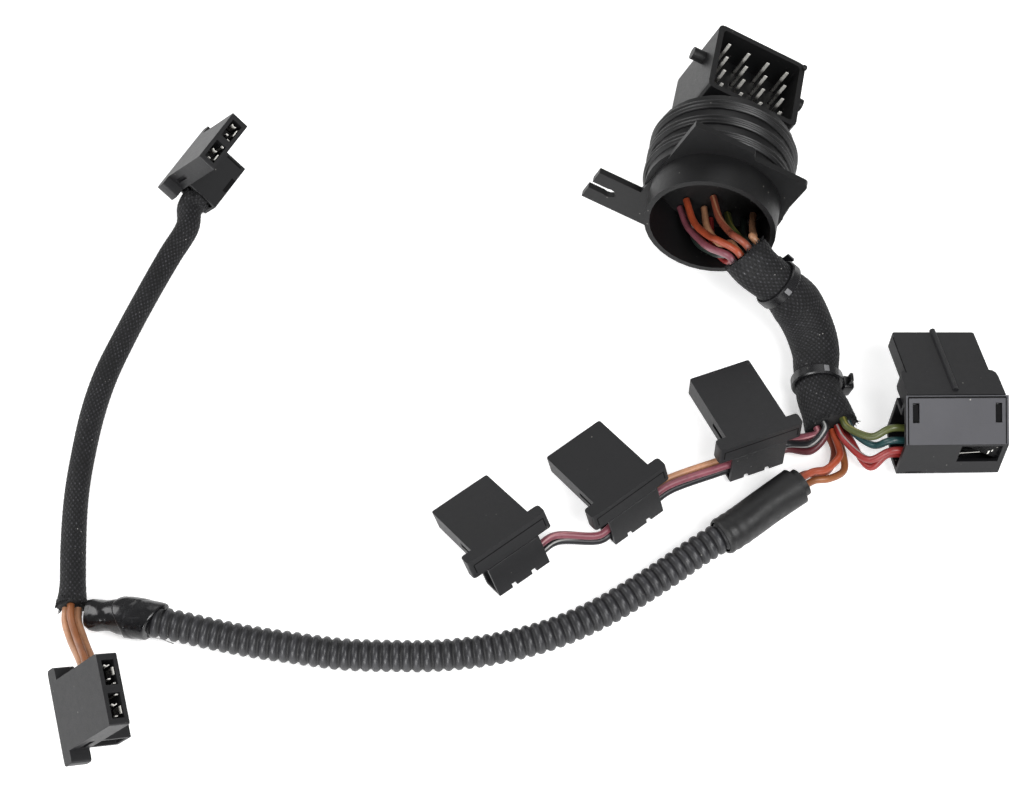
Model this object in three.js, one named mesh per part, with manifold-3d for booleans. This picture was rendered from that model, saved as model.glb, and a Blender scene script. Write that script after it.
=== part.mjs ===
// Wiring harness for a vehicle gearbox: a round bulkhead connector, a braided trunk, a chain of
// three flat plugs, one wide plug, and a corrugated conduit that ends in two more flat plugs.
// Units are millimetres, +Z is up, +X is to the right and +Y is away from the front.

import * as THREE from "three";
import { mergeVertices } from "three/addons/utils/BufferGeometryUtils.js";
import Module from "manifold-3d";

const wasm = await Module();
wasm.setup();

// Clearances
const SEAT_GAP = 0.3;
const CORD_GAP = 0.45;

// Bulkhead connector: cup, seal drum, mounting flange and pin header
const CUP_RADIUS = 22;
const CUP_WALL = 1.8;
const CUP_LENGTH = 13.6;
const CUP_DEPTH = 18.6;
const CUP_FLOOR = CUP_DEPTH - CUP_LENGTH;
const DRUM_RADIUS = 24;
const DRUM_LENGTH = 26;
const SEAL_COUNT = 3;
const SEAL_FIRST = 5.6;
const SEAL_PITCH = 7;
const SEAL_WIDTH = 4.2;
const SEAL_GROOVE = 2;
const SEAL_PROUD = 1.3;
const SEAL_DIP = 0.8;
const FLANGE_HALF = 22;
const FLANGE_THICK = 2.4;
const FLANGE_TOP_LEFT = 26.9;
const FLANGE_TOP_RIGHT = 24.4;
const FLANGE_BOTTOM = 25.6;
const FLANGE_CORNER = 2;
const TAB_REACH = 37.8;
const TAB_TOP = 11.8;
const TAB_SLOT = 3.2;
const TAB_HOLE_LONG = 5.2;
const TAB_HOLE_HIGH = 3.8;
const TAB_HOLE_INSET = 7;
const HEADER_WIDTH = 34;
const HEADER_LENGTH = 30;
const HEADER_TOP = 17.4;
const HEADER_BOTTOM = 13;
const HEADER_WALL = 2;
const HEADER_DEPTH = 12.5;
const HEADER_CORNER = 2.4;
const REAR_PLATE_HALF = 20;
const REAR_PLATE_TOP = 14;
const REAR_PLATE_THICK = 2.6;
const PEG_RADIUS = 2.3;
const PEG_LENGTH = 4.6;
const PEG_BELOW_RIM = 9;
const PEG_FROM_BACK = 9.5;
const PIN_COLUMNS = 4;
const PIN_ROWS = 4;
const PIN_COLUMN_PITCH = 7.6;
const PIN_ROW_PITCH = 6.4;
const PIN_WIDE = 1.1;
const PIN_THICK = 0.7;
const PIN_HEIGHT = 10.8;
const PIN_TIP = 2.4;

// Flat two-way plug, used five times
const PLUG_WIDTH = 21.7;
const PLUG_LENGTH = 26;
const PLUG_THICK = 6.7;
const PLUG_TIP_CORNER = 0.8;
const EAR_WIDTH = 29.7;
const EAR_DEPTH = 4.6;
const EAR_CORNER = 1.2;
const CAVITY_COUNT = 2;
const CAVITY_WIDE = 7.6;
const CAVITY_HIGH = 4;
const CAVITY_DEPTH = 9;
const CAVITY_PITCH = 10;
const SIDE_SLOT_LONG = 7;
const SIDE_SLOT_HIGH = 1.6;
const SIDE_SLOT_DEEP = 1.2;
const COVER_WIDTH = 19.5;
const COVER_DEPTH = 8.6;
const COVER_BOTTOM = 18.9;
const COVER_WALL = 1.1;
const COVER_LIP = 3.2;
const COVER_NOTCH_WIDE = 1.6;
const COVER_NOTCH_HIGH = 1.5;
const COVER_NOTCH_PITCH = 7.6;

// Wide plug
const WIDE_WIDTH = 28.3;
const WIDE_LENGTH = 17.7;
const WIDE_THICK = 5.9;
const WIDE_DECK = 11.5;
const WIDE_DECK_WIDTH = 33;
const WIDE_RIB_RADIUS = 1;
const WIDE_CAVITY_COUNT = 4;
const WIDE_CAVITY_WIDE = 4.6;
const WIDE_CAVITY_HIGH = 3.4;
const WIDE_CAVITY_DEPTH = 8;
const WIDE_CAVITY_PITCH = 6.4;
const WIDE_COVER_WIDTH = 34.9;
const WIDE_SLOPE_REACH = 11.5;
const WIDE_SLOPE_DROP = 11.3;
const WIDE_COVER_HEIGHT = 24.4;
const WIDE_COVER_BACK = 5;
const WIDE_COVER_HEEL = -4;
const WIDE_COVER_RISE = 4;
const WIDE_COVER_WALL = 1.4;
const LATCH_SLOT_WIDE = 2.1;
const LATCH_SLOT_LONG = 6.2;
const LATCH_SLOT_FROM_TOP = 2.8;
const LATCH_SLOT_INSET = 2.4;
const WINDOW_WIDE = 14;
const WINDOW_HIGH = 7;
const WINDOW_INSET = 1.8;
const STRIP_THICK = 0.8;
const STRIP_HIGH = 3.4;
const STRIP_LONG = 15;

// Cords, sleeves and ties
const WIRE_RADIUS = 1.2;
const LANE_MIDDLE = 4.3;
const LANE_DEPTH = 14.6;
const LANE_PITCH = 2.7;
const LANE_STOP = COVER_WIDTH / 2 - 3.75;
const LANE_INSIDE = COVER_WIDTH / 2 - 1.75;
const LANE_OUTSIDE = COVER_WIDTH / 2 + 3.25;
const LANE_APPROACH = COVER_WIDTH / 2 + 5.25;
const WIRE_SIDES = 8;
const WIRE_STEP = 5;
const FLARE_REACH = 8;
const TRUNK_SIDES = 12;
const BRANCH_RADIUS = 3.9;
const BRANCH_FLARE = 1.1;
const BRANCH_SIDES = 10;
const CONDUIT_RADIUS = 5;
const CONDUIT_VALLEY = 4.1;
const CONDUIT_BORE = 3.4;
const CONDUIT_PITCH = 3.15;
const CONDUIT_CREST = 1.9;
const CONDUIT_SIDES = 10;
const END_SLEEVE_WALL = 0.7;
const END_SLEEVE_OVERLAP = 7;
const TAPE_WALL = 0.8;
const TAPE_LENGTH = 24.8;
const TAPE_POCKET = 5.2;
const TAPE_NECK_RADIUS = 4.8;
const TAPE_NECK_LENGTH = 8;
const UPPER_TIE_FROM_TOP = 15.5;
const LOWER_TIE_FROM_END = 17.5;
const TIE_WIDTH = 3.6;
const TIE_THICK = 1.1;
const TIE_HEAD_WIDE = 4.8;
const TIE_HEAD_LONG = 5.6;
const TIE_HEAD_HIGH = 3.6;
const TIE_TAIL_LONG = 3;

// Radius of the trunk at distances from its top, and at distances from its end
const TRUNK_GIRTH = [[0, 7.9], [9, 7.3], [UPPER_TIE_FROM_TOP, 7.1], [26, 8.7], [40, 8.3]];
const TRUNK_END_GIRTH = [[LOWER_TIE_FROM_END, 7.1], [9, 7.4], [0, 8.4]];

// Where each connector and cord end lies: x, y, z, then yaw, pitch and roll in degrees
const PLACES = {
  floor: [0, 0, 0, 0, 0, 0],
  bulkhead: [68, 57.4, 32.6, -11.2, -5, 23.7],
  plug_a: [79.9, -28.5, 20, 23.7, -6.4, 3.9],
  plug_b: [36.8, -48.9, 20.8, 35.6, -15, -4.8],
  plug_c: [-1.7, -65.4, 21.1, 33.4, -25.1, -5.5],
  plug_d: [142.4, -15.8, 25.3, 8, -12.8, 9.1],
  plug_e: [-116.2, 90, 12.2, -119.3, 53.1, 0.4],
  plug_f: [-136.2, -122.5, 13, -94.8, 53.9, 23.4],
  trunk_top: [76.6, 33.4, 33.2, 44.5, 24, 0],
  trunk_end: [104, -17.5, 8.6, 12, 2, 0],
  conduit_mouth: [92.8, -38.2, 8.4, -52, -4, 0],
  branch_root: [-137.2, -81, 5.2, 0, 0, 0],
};

const FINISHES = {
  housing: { color: 0x2c2c2e, roughness: 0.5, metalness: 0 },
  plug: { color: 0x343438, roughness: 0.5, metalness: 0 },
  seal: { color: 0x1d1d1e, roughness: 0.75, metalness: 0 },
  tin: { color: 0xd9d9d6, roughness: 0.25, metalness: 1 },
  braid: { color: 0x232325, roughness: 0.9, metalness: 0 },
  conduit: { color: 0x262629, roughness: 0.55, metalness: 0 },
  tape: { color: 0x202022, roughness: 0.3, metalness: 0 },
  tie: { color: 0x1b1b1c, roughness: 0.4, metalness: 0 },
};

const WIRE_COLOURS = {
  mauve: 0x966069,
  peach: 0xd29b78,
  ochre: 0xaf6e3c,
  orange: 0xc85a37,
  brown: 0xaf553c,
  crimson: 0x6e232d,
  red: 0xbe322d,
  olive: 0x5a5f37,
  teal: 0x285050,
  green: 0x323c37,
  black: 0x2a2a2c,
};

// Cord routes: each point is a place name and an offset in that place's own axes
const TRUNK_ROUTE = [
  ["trunk_top", 0, 0, 0],
  ["trunk_top", 0, -5, 0],
  ["floor", 88.8, 26.4, 24.6],
  ["floor", 95.2, 24.2, 16.8],
  ["floor", 99.2, 18.2, 11.4],
  ["floor", 100.8, 11, 9.2],
  ["floor", 100.6, 4.5, 8.6],
  ["floor", 101, -5.5, 8.6],
  ["trunk_end", 0, 5, 0],
  ["trunk_end", 0, 0, 0],
];

const CONDUIT_ROUTE = [
  ["floor", -112.5, -86.5, 6.4],
  ["floor", -103, -88.5, 6],
  ["floor", -84, -92.5, 5.1],
  ["floor", -66, -95.5, 5.1],
  ["floor", -51.5, -97.5, 5.1],
  ["floor", -36.5, -98, 5.1],
  ["floor", -24.5, -98, 5.1],
  ["floor", -10, -96.5, 5.1],
  ["floor", 1.5, -94, 5.1],
  ["floor", 12.5, -90.5, 5.1],
  ["floor", 23.5, -85.5, 5.1],
  ["floor", 31.5, -81, 5.1],
  ["floor", 47, -70.5, 5.1],
  ["floor", 59.5, -61.5, 5.8],
  ["floor", 72, -53.6, 6.5],
];

const END_SLEEVE_ROUTE = [
  ["floor", 66.2, -57.3, 6.2],
  ["floor", 72, -53.6, 6.5],
  ["floor", 82, -46, 7.4],
  ["conduit_mouth", 0, 0, 0],
];

const TAPE_ROUTE = [
  ["floor", -132.3, -83.6, 5],
  ["floor", -126.5, -84.4, 5.2],
  ["floor", -121.5, -85, 6.1],
  ["floor", -112.5, -86.5, 6.4],
  ["floor", -103, -88.5, 6],
];

const BRANCH_ROUTE = [
  ["branch_root", 0, 0, 0],
  ["branch_root", -0.4, 6, 0],
  ["floor", -139, -60.5, 5],
  ["floor", -140, -41, 4.6],
  ["floor", -139.5, -26, 4.6],
  ["floor", -138, -10.5, 4.6],
  ["floor", -135, 5, 4.6],
  ["floor", -130, 21, 4.6],
  ["floor", -124, 37, 5],
  ["floor", -117.5, 53, 5.8],
  ["floor", -112.2, 64, 7.4],
  ["plug_e", 14, 4.3, -12.6],
  ["plug_e", 10.4, 4.3, -12.6],
];

// Four wires lie in two columns and two rows under a cover, and they turn round each other.
// Each lane is an angle in eighths of a turn round the middle, from the upper corner at the back.
function lane(plug, x, eighths) {
  const angle = Math.PI / 4 + (eighths * Math.PI) / 4;
  const reach = LANE_PITCH / Math.SQRT2;
  return [plug, x, LANE_MIDDLE + reach * Math.cos(angle), reach * Math.sin(angle) - LANE_DEPTH];
}

// Wires that run from the trunk through plug A to plug B, where two of them end, and on to plug C
const CHAIN_WIRES = {
  wire_chain_mauve: {
    colour: "mauve",
    route: [
      ["trunk_end", -5.3, -0.5, 1.8],
      ["trunk_end", -5.3, -2.4, 1.8],
      ["floor", 95.5, -21.4, 8.4],
      lane("plug_a", LANE_OUTSIDE - 0.5, 0),
      lane("plug_a", LANE_INSIDE, 0),
      lane("plug_a", 0, 1),
      lane("plug_a", -LANE_INSIDE, 2),
      lane("plug_a", -LANE_OUTSIDE, 2),
      lane("plug_b", LANE_APPROACH, 2),
      lane("plug_b", LANE_INSIDE, 2),
      lane("plug_b", -LANE_INSIDE, 2),
      lane("plug_b", -LANE_OUTSIDE, 2),
      lane("plug_c", LANE_APPROACH, 2),
      lane("plug_c", LANE_INSIDE, 2),
      lane("plug_c", -LANE_STOP, 2),
    ],
  },
  wire_chain_black: {
    colour: "black",
    route: [
      ["trunk_end", -3.2, -0.5, 4.4],
      ["trunk_end", -3.2, -2.4, 4.4],
      ["floor", 97.2, -24.4, 9.4],
      lane("plug_a", LANE_OUTSIDE - 0.5, 2),
      lane("plug_a", LANE_INSIDE, 2),
      lane("plug_a", 0, 3),
      lane("plug_a", -LANE_INSIDE, 4),
      lane("plug_a", -LANE_OUTSIDE, 4),
      lane("plug_b", LANE_APPROACH, 4),
      lane("plug_b", LANE_INSIDE, 4),
      lane("plug_b", -LANE_INSIDE, 4),
      lane("plug_b", -LANE_OUTSIDE, 4),
      lane("plug_c", LANE_APPROACH, 4),
      lane("plug_c", LANE_INSIDE, 4),
      lane("plug_c", -LANE_STOP, 4),
    ],
  },
  wire_chain_crimson: {
    colour: "crimson",
    route: [
      ["trunk_end", -2.6, -0.5, -0.6],
      ["trunk_end", -2.6, -2.4, -0.6],
      ["floor", 97.2, -24.9, 5.2],
      lane("plug_a", LANE_OUTSIDE - 0.5, 4),
      lane("plug_a", LANE_INSIDE, 4),
      lane("plug_a", 0, 5),
      lane("plug_a", -LANE_INSIDE, 6),
      lane("plug_a", -LANE_OUTSIDE, 6),
      lane("plug_b", LANE_APPROACH, 6),
      lane("plug_b", LANE_INSIDE, 6),
      lane("plug_b", -LANE_STOP, 6),
    ],
  },
  wire_chain_peach: {
    colour: "peach",
    route: [
      ["trunk_end", -5.3, -0.5, -1.6],
      ["trunk_end", -5.3, -2.4, -1.6],
      ["floor", 95.3, -21.8, 4.6],
      lane("plug_a", LANE_OUTSIDE - 0.5, 6),
      lane("plug_a", LANE_INSIDE, 6),
      lane("plug_a", 0, 7),
      lane("plug_a", -LANE_INSIDE, 8),
      lane("plug_a", -LANE_OUTSIDE, 8),
      lane("plug_b", LANE_APPROACH, 8),
      lane("plug_b", LANE_INSIDE, 8),
      lane("plug_b", -LANE_STOP, 8),
    ],
  },
};

// Wires from the trunk to the wide plug
const WIDE_WIRES = {
  wire_wide_olive: {
    colour: "olive",
    route: [
      ["trunk_end", 3.4, -0.5, 4],
      ["trunk_end", 3.8, -3.2, 4],
      ["floor", 116, -24.5, 13.6],
      ["plug_d", -20, -2.6, -12.6],
      ["plug_d", -12, -2.6, -12.6],
    ],
  },
  wire_wide_teal: {
    colour: "teal",
    route: [
      ["trunk_end", 5.4, -0.5, 1],
      ["trunk_end", 5.9, -3.6, 1],
      ["floor", 117, -25.5, 9.8],
      ["plug_d", -20, -5.2, -15.6],
      ["plug_d", -12, -5.2, -15.6],
    ],
  },
  wire_wide_red_upper: {
    colour: "red",
    route: [
      ["trunk_end", 1.8, -0.5, 0.6],
      ["trunk_end", 2.4, -5.4, 0.6],
      ["floor", 115, -30.4, 9],
      ["plug_d", -20, -8, -17.4],
      ["plug_d", -12, -8, -17.4],
    ],
  },
  wire_wide_red_lower: {
    colour: "red",
    route: [
      ["trunk_end", 4.6, -0.5, -2.4],
      ["trunk_end", 5.4, -5, -2.4],
      ["floor", 116, -31, 5.2],
      ["plug_d", -20, -6.6, -20.6],
      ["plug_d", -12, -6.6, -20.6],
    ],
  },
};

// Wires from the trunk into the conduit
const CONDUIT_WIRES = {
  wire_conduit_brown: {
    colour: "brown",
    route: [
      ["trunk_end", -0.4, -0.5, -5],
      ["trunk_end", -0.2, -6.6, -5],
      ["floor", 103.5, -29.8, 3.4],
      ["floor", 99.5, -34.2, 5.4],
      ["conduit_mouth", -1.8, 4, -1.4],
      ["conduit_mouth", -1.8, -8, -1.4],
    ],
  },
  wire_conduit_ochre: {
    colour: "ochre",
    route: [
      ["trunk_end", 2.2, -0.5, -4.9],
      ["trunk_end", 2.2, -9, -5],
      ["floor", 107.4, -31.8, 4.2],
      ["floor", 102, -35.8, 6],
      ["conduit_mouth", 1.6, 4.4, -1.5],
      ["conduit_mouth", 1.6, -8, -1.5],
    ],
  },
  wire_conduit_orange: {
    colour: "orange",
    route: [
      ["trunk_end", 0.4, -0.5, -1.8],
      ["trunk_end", 0.6, -8, -1.6],
      ["floor", 105.8, -28.6, 7.8],
      ["floor", 101, -34, 9],
      ["conduit_mouth", 0, 4.2, 1.7],
      ["conduit_mouth", 0, -8, 1.7],
    ],
  },
};

// Wires from the end of the conduit to plug F
const TAIL_WIRES = {
  wire_tail_peach: {
    colour: "peach",
    route: [
      ["branch_root", -1.9, -0.5, -0.6],
      ["branch_root", -1.6, -5, -0.5],
      ["floor", -136.4, -92.5, 6],
      ["plug_f", -14, 3.1, -10.2],
      ["plug_f", -8, 3.1, -10.2],
      ["plug_f", 6, 3.1, -10.2],
    ],
  },
  wire_tail_ochre: {
    colour: "ochre",
    route: [
      ["branch_root", 0, -0.5, 1.9],
      ["branch_root", 0.6, -5, 2.2],
      ["floor", -134.2, -92.5, 8.6],
      ["plug_f", -14, 5.9, -10.2],
      ["plug_f", -8, 5.9, -10.2],
      ["plug_f", 6, 5.9, -10.2],
    ],
  },
  wire_tail_tan: {
    colour: "peach",
    route: [
      ["branch_root", 1.9, -0.5, -0.8],
      ["branch_root", 2.4, -5, -0.8],
      ["floor", -132.2, -92.5, 5.2],
      ["plug_f", -14, 4.4, -13.4],
      ["plug_f", -8, 4.4, -13.4],
      ["plug_f", 6, 4.4, -13.4],
    ],
  },
};

// Wires from the floor of the bulkhead cup into the top of the trunk
const CUP_WIRES = {
  wire_cup_mauve: {
    colour: "mauve",
    route: [
      ["bulkhead", -5.4, CUP_FLOOR - CORD_GAP, -16.4],
      ["bulkhead", -2, -3.4, -14.8],
      ["bulkhead", 1.5, -10.3, -10.8],
      ["bulkhead", 3.2, -18.2, -4],
      ["trunk_top", -4.8, 3, -0.2],
      ["trunk_top", -4.8, 0.5, -0.2],
    ],
  },
  wire_cup_orange: {
    colour: "orange",
    route: [
      ["bulkhead", -5.6, CUP_FLOOR - CORD_GAP, -11.6],
      ["bulkhead", -1.6, -4.3, -10.7],
      ["bulkhead", 2.1, -11.9, -5.6],
      ["bulkhead", 3.6, -18.3, 1.1],
      ["trunk_top", -3, 3, 2.7],
      ["trunk_top", -3, 0.5, 2.7],
    ],
  },
  wire_cup_tan: {
    colour: "peach",
    route: [
      ["bulkhead", 1.4, CUP_FLOOR - CORD_GAP, -11.6],
      ["bulkhead", 3.4, -4, -10.6],
      ["bulkhead", 7.6, -11, -7.6],
      ["bulkhead", 9, -15.2, -0.8],
      ["trunk_top", -1.1, 3, -0.2],
      ["trunk_top", -1.1, 0.5, -0.2],
    ],
  },
  wire_cup_brown: {
    colour: "brown",
    route: [
      ["bulkhead", 1.2, CUP_FLOOR - CORD_GAP, -4.8],
      ["bulkhead", 4.6, -4, -4.2],
      ["bulkhead", 7.7, -11.8, 0],
      ["bulkhead", 7.1, -16.7, 4.6],
      ["trunk_top", 0.6, 3, 3.6],
      ["trunk_top", 0.6, 0.5, 3.6],
    ],
  },
  wire_cup_black: {
    colour: "green",
    route: [
      ["bulkhead", -1.4, CUP_FLOOR - CORD_GAP, -17.2],
      ["bulkhead", 3, -5.6, -17.2],
      ["bulkhead", 8.2, -12, -12],
      ["bulkhead", 8.7, -16.8, -5.8],
      ["trunk_top", -2.6, 3, -3.2],
      ["trunk_top", -2.6, 0.5, -3.2],
    ],
  },
  wire_cup_green: {
    colour: "olive",
    route: [
      ["bulkhead", 9.4, CUP_FLOOR - CORD_GAP, -9.6],
      ["bulkhead", 9.6, -4, -5.4],
      ["bulkhead", 11.5, -10, -1.9],
      ["bulkhead", 11.5, -14.2, 1.7],
      ["trunk_top", 2.4, 3, 0.3],
      ["trunk_top", 2.4, 0.5, 0.3],
    ],
  },
};

// Frames and curves

const frames = {};
for (const [name, [x, y, z, yaw, pitch, roll]] of Object.entries(PLACES)) {
  const frame = new THREE.Group();
  frame.position.set(x, y, z);
  frame.rotation.order = "ZXY";
  frame.rotation.z = THREE.MathUtils.degToRad(yaw);
  frame.rotation.x = THREE.MathUtils.degToRad(pitch);
  frame.rotation.y = THREE.MathUtils.degToRad(roll);
  frame.updateMatrix();
  frames[name] = frame;
}

// The curve through a route's points, on the floor's axes.
function routeCurve(route) {
  const points = route.map(([place, x, y, z]) => new THREE.Vector3(x, y, z).applyMatrix4(frames[place].matrix));
  return new THREE.CatmullRomCurve3(points, false, "centripetal");
}

// Position and axes at a distance along a curve: the third axis points along it, the second up.
function frameAlong(curve, distance) {
  const share = THREE.MathUtils.clamp(distance / curve.getLength(), 0, 1);
  const along = curve.getTangentAt(share);
  const side = new THREE.Vector3(0, 0, 1).cross(along).normalize();
  const up = along.clone().cross(side);
  return new THREE.Matrix4().makeBasis(side, up, along).setPosition(curve.getPointAt(share));
}

// Solids

function toSolid(geometry) {
  const plain = geometry.clone();
  plain.deleteAttribute("normal");
  plain.deleteAttribute("uv");
  const merged = mergeVertices(plain, 1e-4);
  const vertProperties = new Float32Array(merged.attributes.position.array);
  const triVerts = new Uint32Array(merged.index.array);
  return new wasm.Manifold(new wasm.Mesh({ numProp: 3, vertProperties, triVerts }));
}

function toGeometry(solid) {
  const mesh = solid.getMesh();
  const geometry = new THREE.BufferGeometry();
  geometry.setAttribute("position", new THREE.BufferAttribute(new Float32Array(mesh.vertProperties), 3));
  geometry.setIndex(new THREE.BufferAttribute(new Uint32Array(mesh.triVerts), 1));
  geometry.computeVertexNormals();
  return geometry;
}

function combine(bodies, cuts) {
  let solid = toSolid(bodies[0]);
  for (const body of bodies.slice(1)) {
    solid = solid.add(toSolid(body));
  }
  for (const cut of cuts) {
    solid = solid.subtract(toSolid(cut));
  }
  return toGeometry(solid);
}

function box(x0, x1, y0, y1, z0, z1) {
  const geometry = new THREE.BoxGeometry(x1 - x0, y1 - y0, z1 - z0);
  return geometry.translate((x0 + x1) / 2, (y0 + y1) / 2, (z0 + z1) / 2);
}

// A rectangle whose corners are cut by the radius given for each, from the right-top one round by the left.
function cornered(x0, x1, y0, y1, corners) {
  const shape = new THREE.Shape();
  const [rightTop, leftTop, leftBottom, rightBottom] = corners;
  shape.moveTo(x1, y1 - rightTop);
  shape.quadraticCurveTo(x1, y1, x1 - rightTop, y1);
  shape.lineTo(x0 + leftTop, y1);
  shape.quadraticCurveTo(x0, y1, x0, y1 - leftTop);
  shape.lineTo(x0, y0 + leftBottom);
  shape.quadraticCurveTo(x0, y0, x0 + leftBottom, y0);
  shape.lineTo(x1 - rightBottom, y0);
  shape.quadraticCurveTo(x1, y0, x1, y0 + rightBottom);
  return shape;
}

// A plan outline in X and Y, extruded from z0 up to z1.
function upright(shape, z0, z1, curveSegments = 3) {
  const geometry = new THREE.ExtrudeGeometry(shape, { depth: z1 - z0, bevelEnabled: false, curveSegments });
  return geometry.translate(0, 0, z0);
}

// An outline in X and Z, extruded from y0 back to y1.
function facing(shape, y0, y1, curveSegments = 4) {
  const geometry = new THREE.ExtrudeGeometry(shape, { depth: y1 - y0, bevelEnabled: false, curveSegments });
  const basis = new THREE.Matrix4().makeBasis(
    new THREE.Vector3(1, 0, 0), new THREE.Vector3(0, 0, 1), new THREE.Vector3(0, -1, 0));
  return geometry.applyMatrix4(basis).translate(0, y1, 0);
}

// An outline in Y and Z, extruded from x0 to x1.
function across(points, x0, x1) {
  const shape = new THREE.Shape(points.map(([y, z]) => new THREE.Vector2(y, z)));
  const geometry = new THREE.ExtrudeGeometry(shape, { depth: x1 - x0, bevelEnabled: false });
  const basis = new THREE.Matrix4().makeBasis(
    new THREE.Vector3(0, 1, 0), new THREE.Vector3(0, 0, 1), new THREE.Vector3(1, 0, 0));
  return geometry.applyMatrix4(basis).translate(x0, 0, 0);
}

// A profile of radius and depth along Y, turned about the Y axis.
function turned(profile, segments) {
  const points = profile.map(([radius, y]) => new THREE.Vector2(radius, y));
  return new THREE.LatheGeometry(points, segments);
}

// A regular outline with as many sides as given, for a tube along a curve.
function roundSection(radius, sides) {
  const points = [];
  for (let i = 0; i < sides; i += 1) {
    const angle = (2 * Math.PI * (i + 0.5)) / sides;
    points.push(new THREE.Vector2(radius * Math.cos(angle), radius * Math.sin(angle)));
  }
  return new THREE.Shape(points);
}

function wireTube(route) {
  const curve = routeCurve(route);
  const steps = Math.ceil(curve.getLength() / WIRE_STEP);
  const section = roundSection(WIRE_RADIUS, WIRE_SIDES);
  return new THREE.ExtrudeGeometry(section, { steps, extrudePath: curve, bevelEnabled: false });
}

// A profile of distance and radius carried along a curve: closed on itself, or ended by two flat caps.
function lofted(curve, profile, sides, hollow) {
  const positions = [];
  const rings = profile.map(([distance, radius]) => {
    const frame = frameAlong(curve, distance);
    const first = positions.length / 3;
    for (let i = 0; i < sides; i += 1) {
      const angle = (2 * Math.PI * (i + 0.5)) / sides;
      const point = new THREE.Vector3(radius * Math.cos(angle), radius * Math.sin(angle), 0);
      positions.push(...point.applyMatrix4(frame).toArray());
    }
    return first;
  });
  const index = [];
  const bands = hollow ? rings.length : rings.length - 1;
  for (let k = 0; k < bands; k += 1) {
    const low = rings[k];
    const high = rings[(k + 1) % rings.length];
    for (let i = 0; i < sides; i += 1) {
      const next = (i + 1) % sides;
      index.push(low + i, low + next, high + next, low + i, high + next, high + i);
    }
  }
  if (!hollow) {
    const last = rings[rings.length - 1];
    for (let i = 1; i < sides - 1; i += 1) {
      index.push(0, i + 1, i, last, last + i, last + i + 1);
    }
  }
  const geometry = new THREE.BufferGeometry();
  geometry.setAttribute("position", new THREE.Float32BufferAttribute(positions, 3));
  geometry.setIndex(index);
  geometry.computeVertexNormals();
  return geometry;
}

// Distances from start to end, with the length between them near the step given.
function stations(start, end, step) {
  const count = Math.max(1, Math.round((end - start) / step));
  return Array.from({ length: count + 1 }, (_, i) => start + ((end - start) * i) / count);
}

// Bulkhead connector, with its axis along Y and its cup opening towards -Y

function sealGroove(index) {
  return SEAL_FIRST + SEAL_PITCH * index;
}

function drumProfile() {
  const points = [[0, -CUP_LENGTH], [CUP_RADIUS, -CUP_LENGTH], [CUP_RADIUS, 0], [DRUM_RADIUS, 0]];
  for (let i = 0; i < SEAL_COUNT; i += 1) {
    const middle = sealGroove(i);
    points.push([DRUM_RADIUS, middle - SEAL_WIDTH / 2]);
    points.push([DRUM_RADIUS - SEAL_GROOVE, middle - SEAL_WIDTH / 2]);
    points.push([DRUM_RADIUS - SEAL_GROOVE, middle + SEAL_WIDTH / 2]);
    points.push([DRUM_RADIUS, middle + SEAL_WIDTH / 2]);
  }
  points.push([DRUM_RADIUS, DRUM_LENGTH - 2], [DRUM_RADIUS - 2, DRUM_LENGTH], [0, DRUM_LENGTH]);
  return points;
}

function flangeOutline() {
  const shape = new THREE.Shape();
  const c = FLANGE_CORNER;
  shape.moveTo(-FLANGE_HALF, FLANGE_TOP_LEFT);
  shape.lineTo(-FLANGE_HALF, -TAB_TOP);
  shape.lineTo(-TAB_REACH, -TAB_TOP);
  const slotMiddle = -(TAB_TOP + FLANGE_BOTTOM) / 2;
  const holeX = -TAB_REACH + TAB_HOLE_INSET;
  const half = TAB_SLOT / 2;
  shape.lineTo(-TAB_REACH, slotMiddle + half);
  const turn = Math.asin(half / (TAB_HOLE_HIGH / 2));
  const hole = [];
  for (let i = 0; i <= 8; i += 1) {
    const angle = Math.PI - turn - ((2 * Math.PI - 2 * turn) * i) / 8;
    hole.push([holeX + (TAB_HOLE_LONG / 2) * Math.cos(angle), slotMiddle + (TAB_HOLE_HIGH / 2) * Math.sin(angle)]);
  }
  for (const [x, z] of hole) {
    shape.lineTo(x, z);
  }
  shape.lineTo(-TAB_REACH, slotMiddle - half);
  shape.lineTo(-TAB_REACH, -FLANGE_BOTTOM);
  shape.lineTo(FLANGE_HALF - c, -FLANGE_BOTTOM);
  shape.quadraticCurveTo(FLANGE_HALF, -FLANGE_BOTTOM, FLANGE_HALF, -FLANGE_BOTTOM + c);
  shape.lineTo(FLANGE_HALF, FLANGE_TOP_RIGHT - c);
  shape.quadraticCurveTo(FLANGE_HALF, FLANGE_TOP_RIGHT, FLANGE_HALF - c, FLANGE_TOP_RIGHT);
  shape.lineTo(1.5, FLANGE_TOP_RIGHT);
  shape.lineTo(0, FLANGE_TOP_LEFT);
  return shape;
}

// The plate behind the drum: straight on top, with cut shoulders and a round underside.
function rearPlateOutline() {
  const shape = new THREE.Shape();
  const reach = DRUM_RADIUS - 0.5;
  const drop = Math.sqrt(reach * reach - REAR_PLATE_HALF * REAR_PLATE_HALF);
  shape.moveTo(-REAR_PLATE_HALF + 6, REAR_PLATE_TOP);
  shape.lineTo(-REAR_PLATE_HALF, REAR_PLATE_TOP - 7);
  shape.lineTo(-REAR_PLATE_HALF, -drop);
  const start = Math.PI + Math.asin(drop / reach);
  shape.absarc(0, 0, reach, start, 3 * Math.PI - start, false);
  shape.lineTo(REAR_PLATE_HALF, REAR_PLATE_TOP - 3);
  shape.lineTo(REAR_PLATE_HALF - 3, REAR_PLATE_TOP);
  return shape;
}

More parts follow.
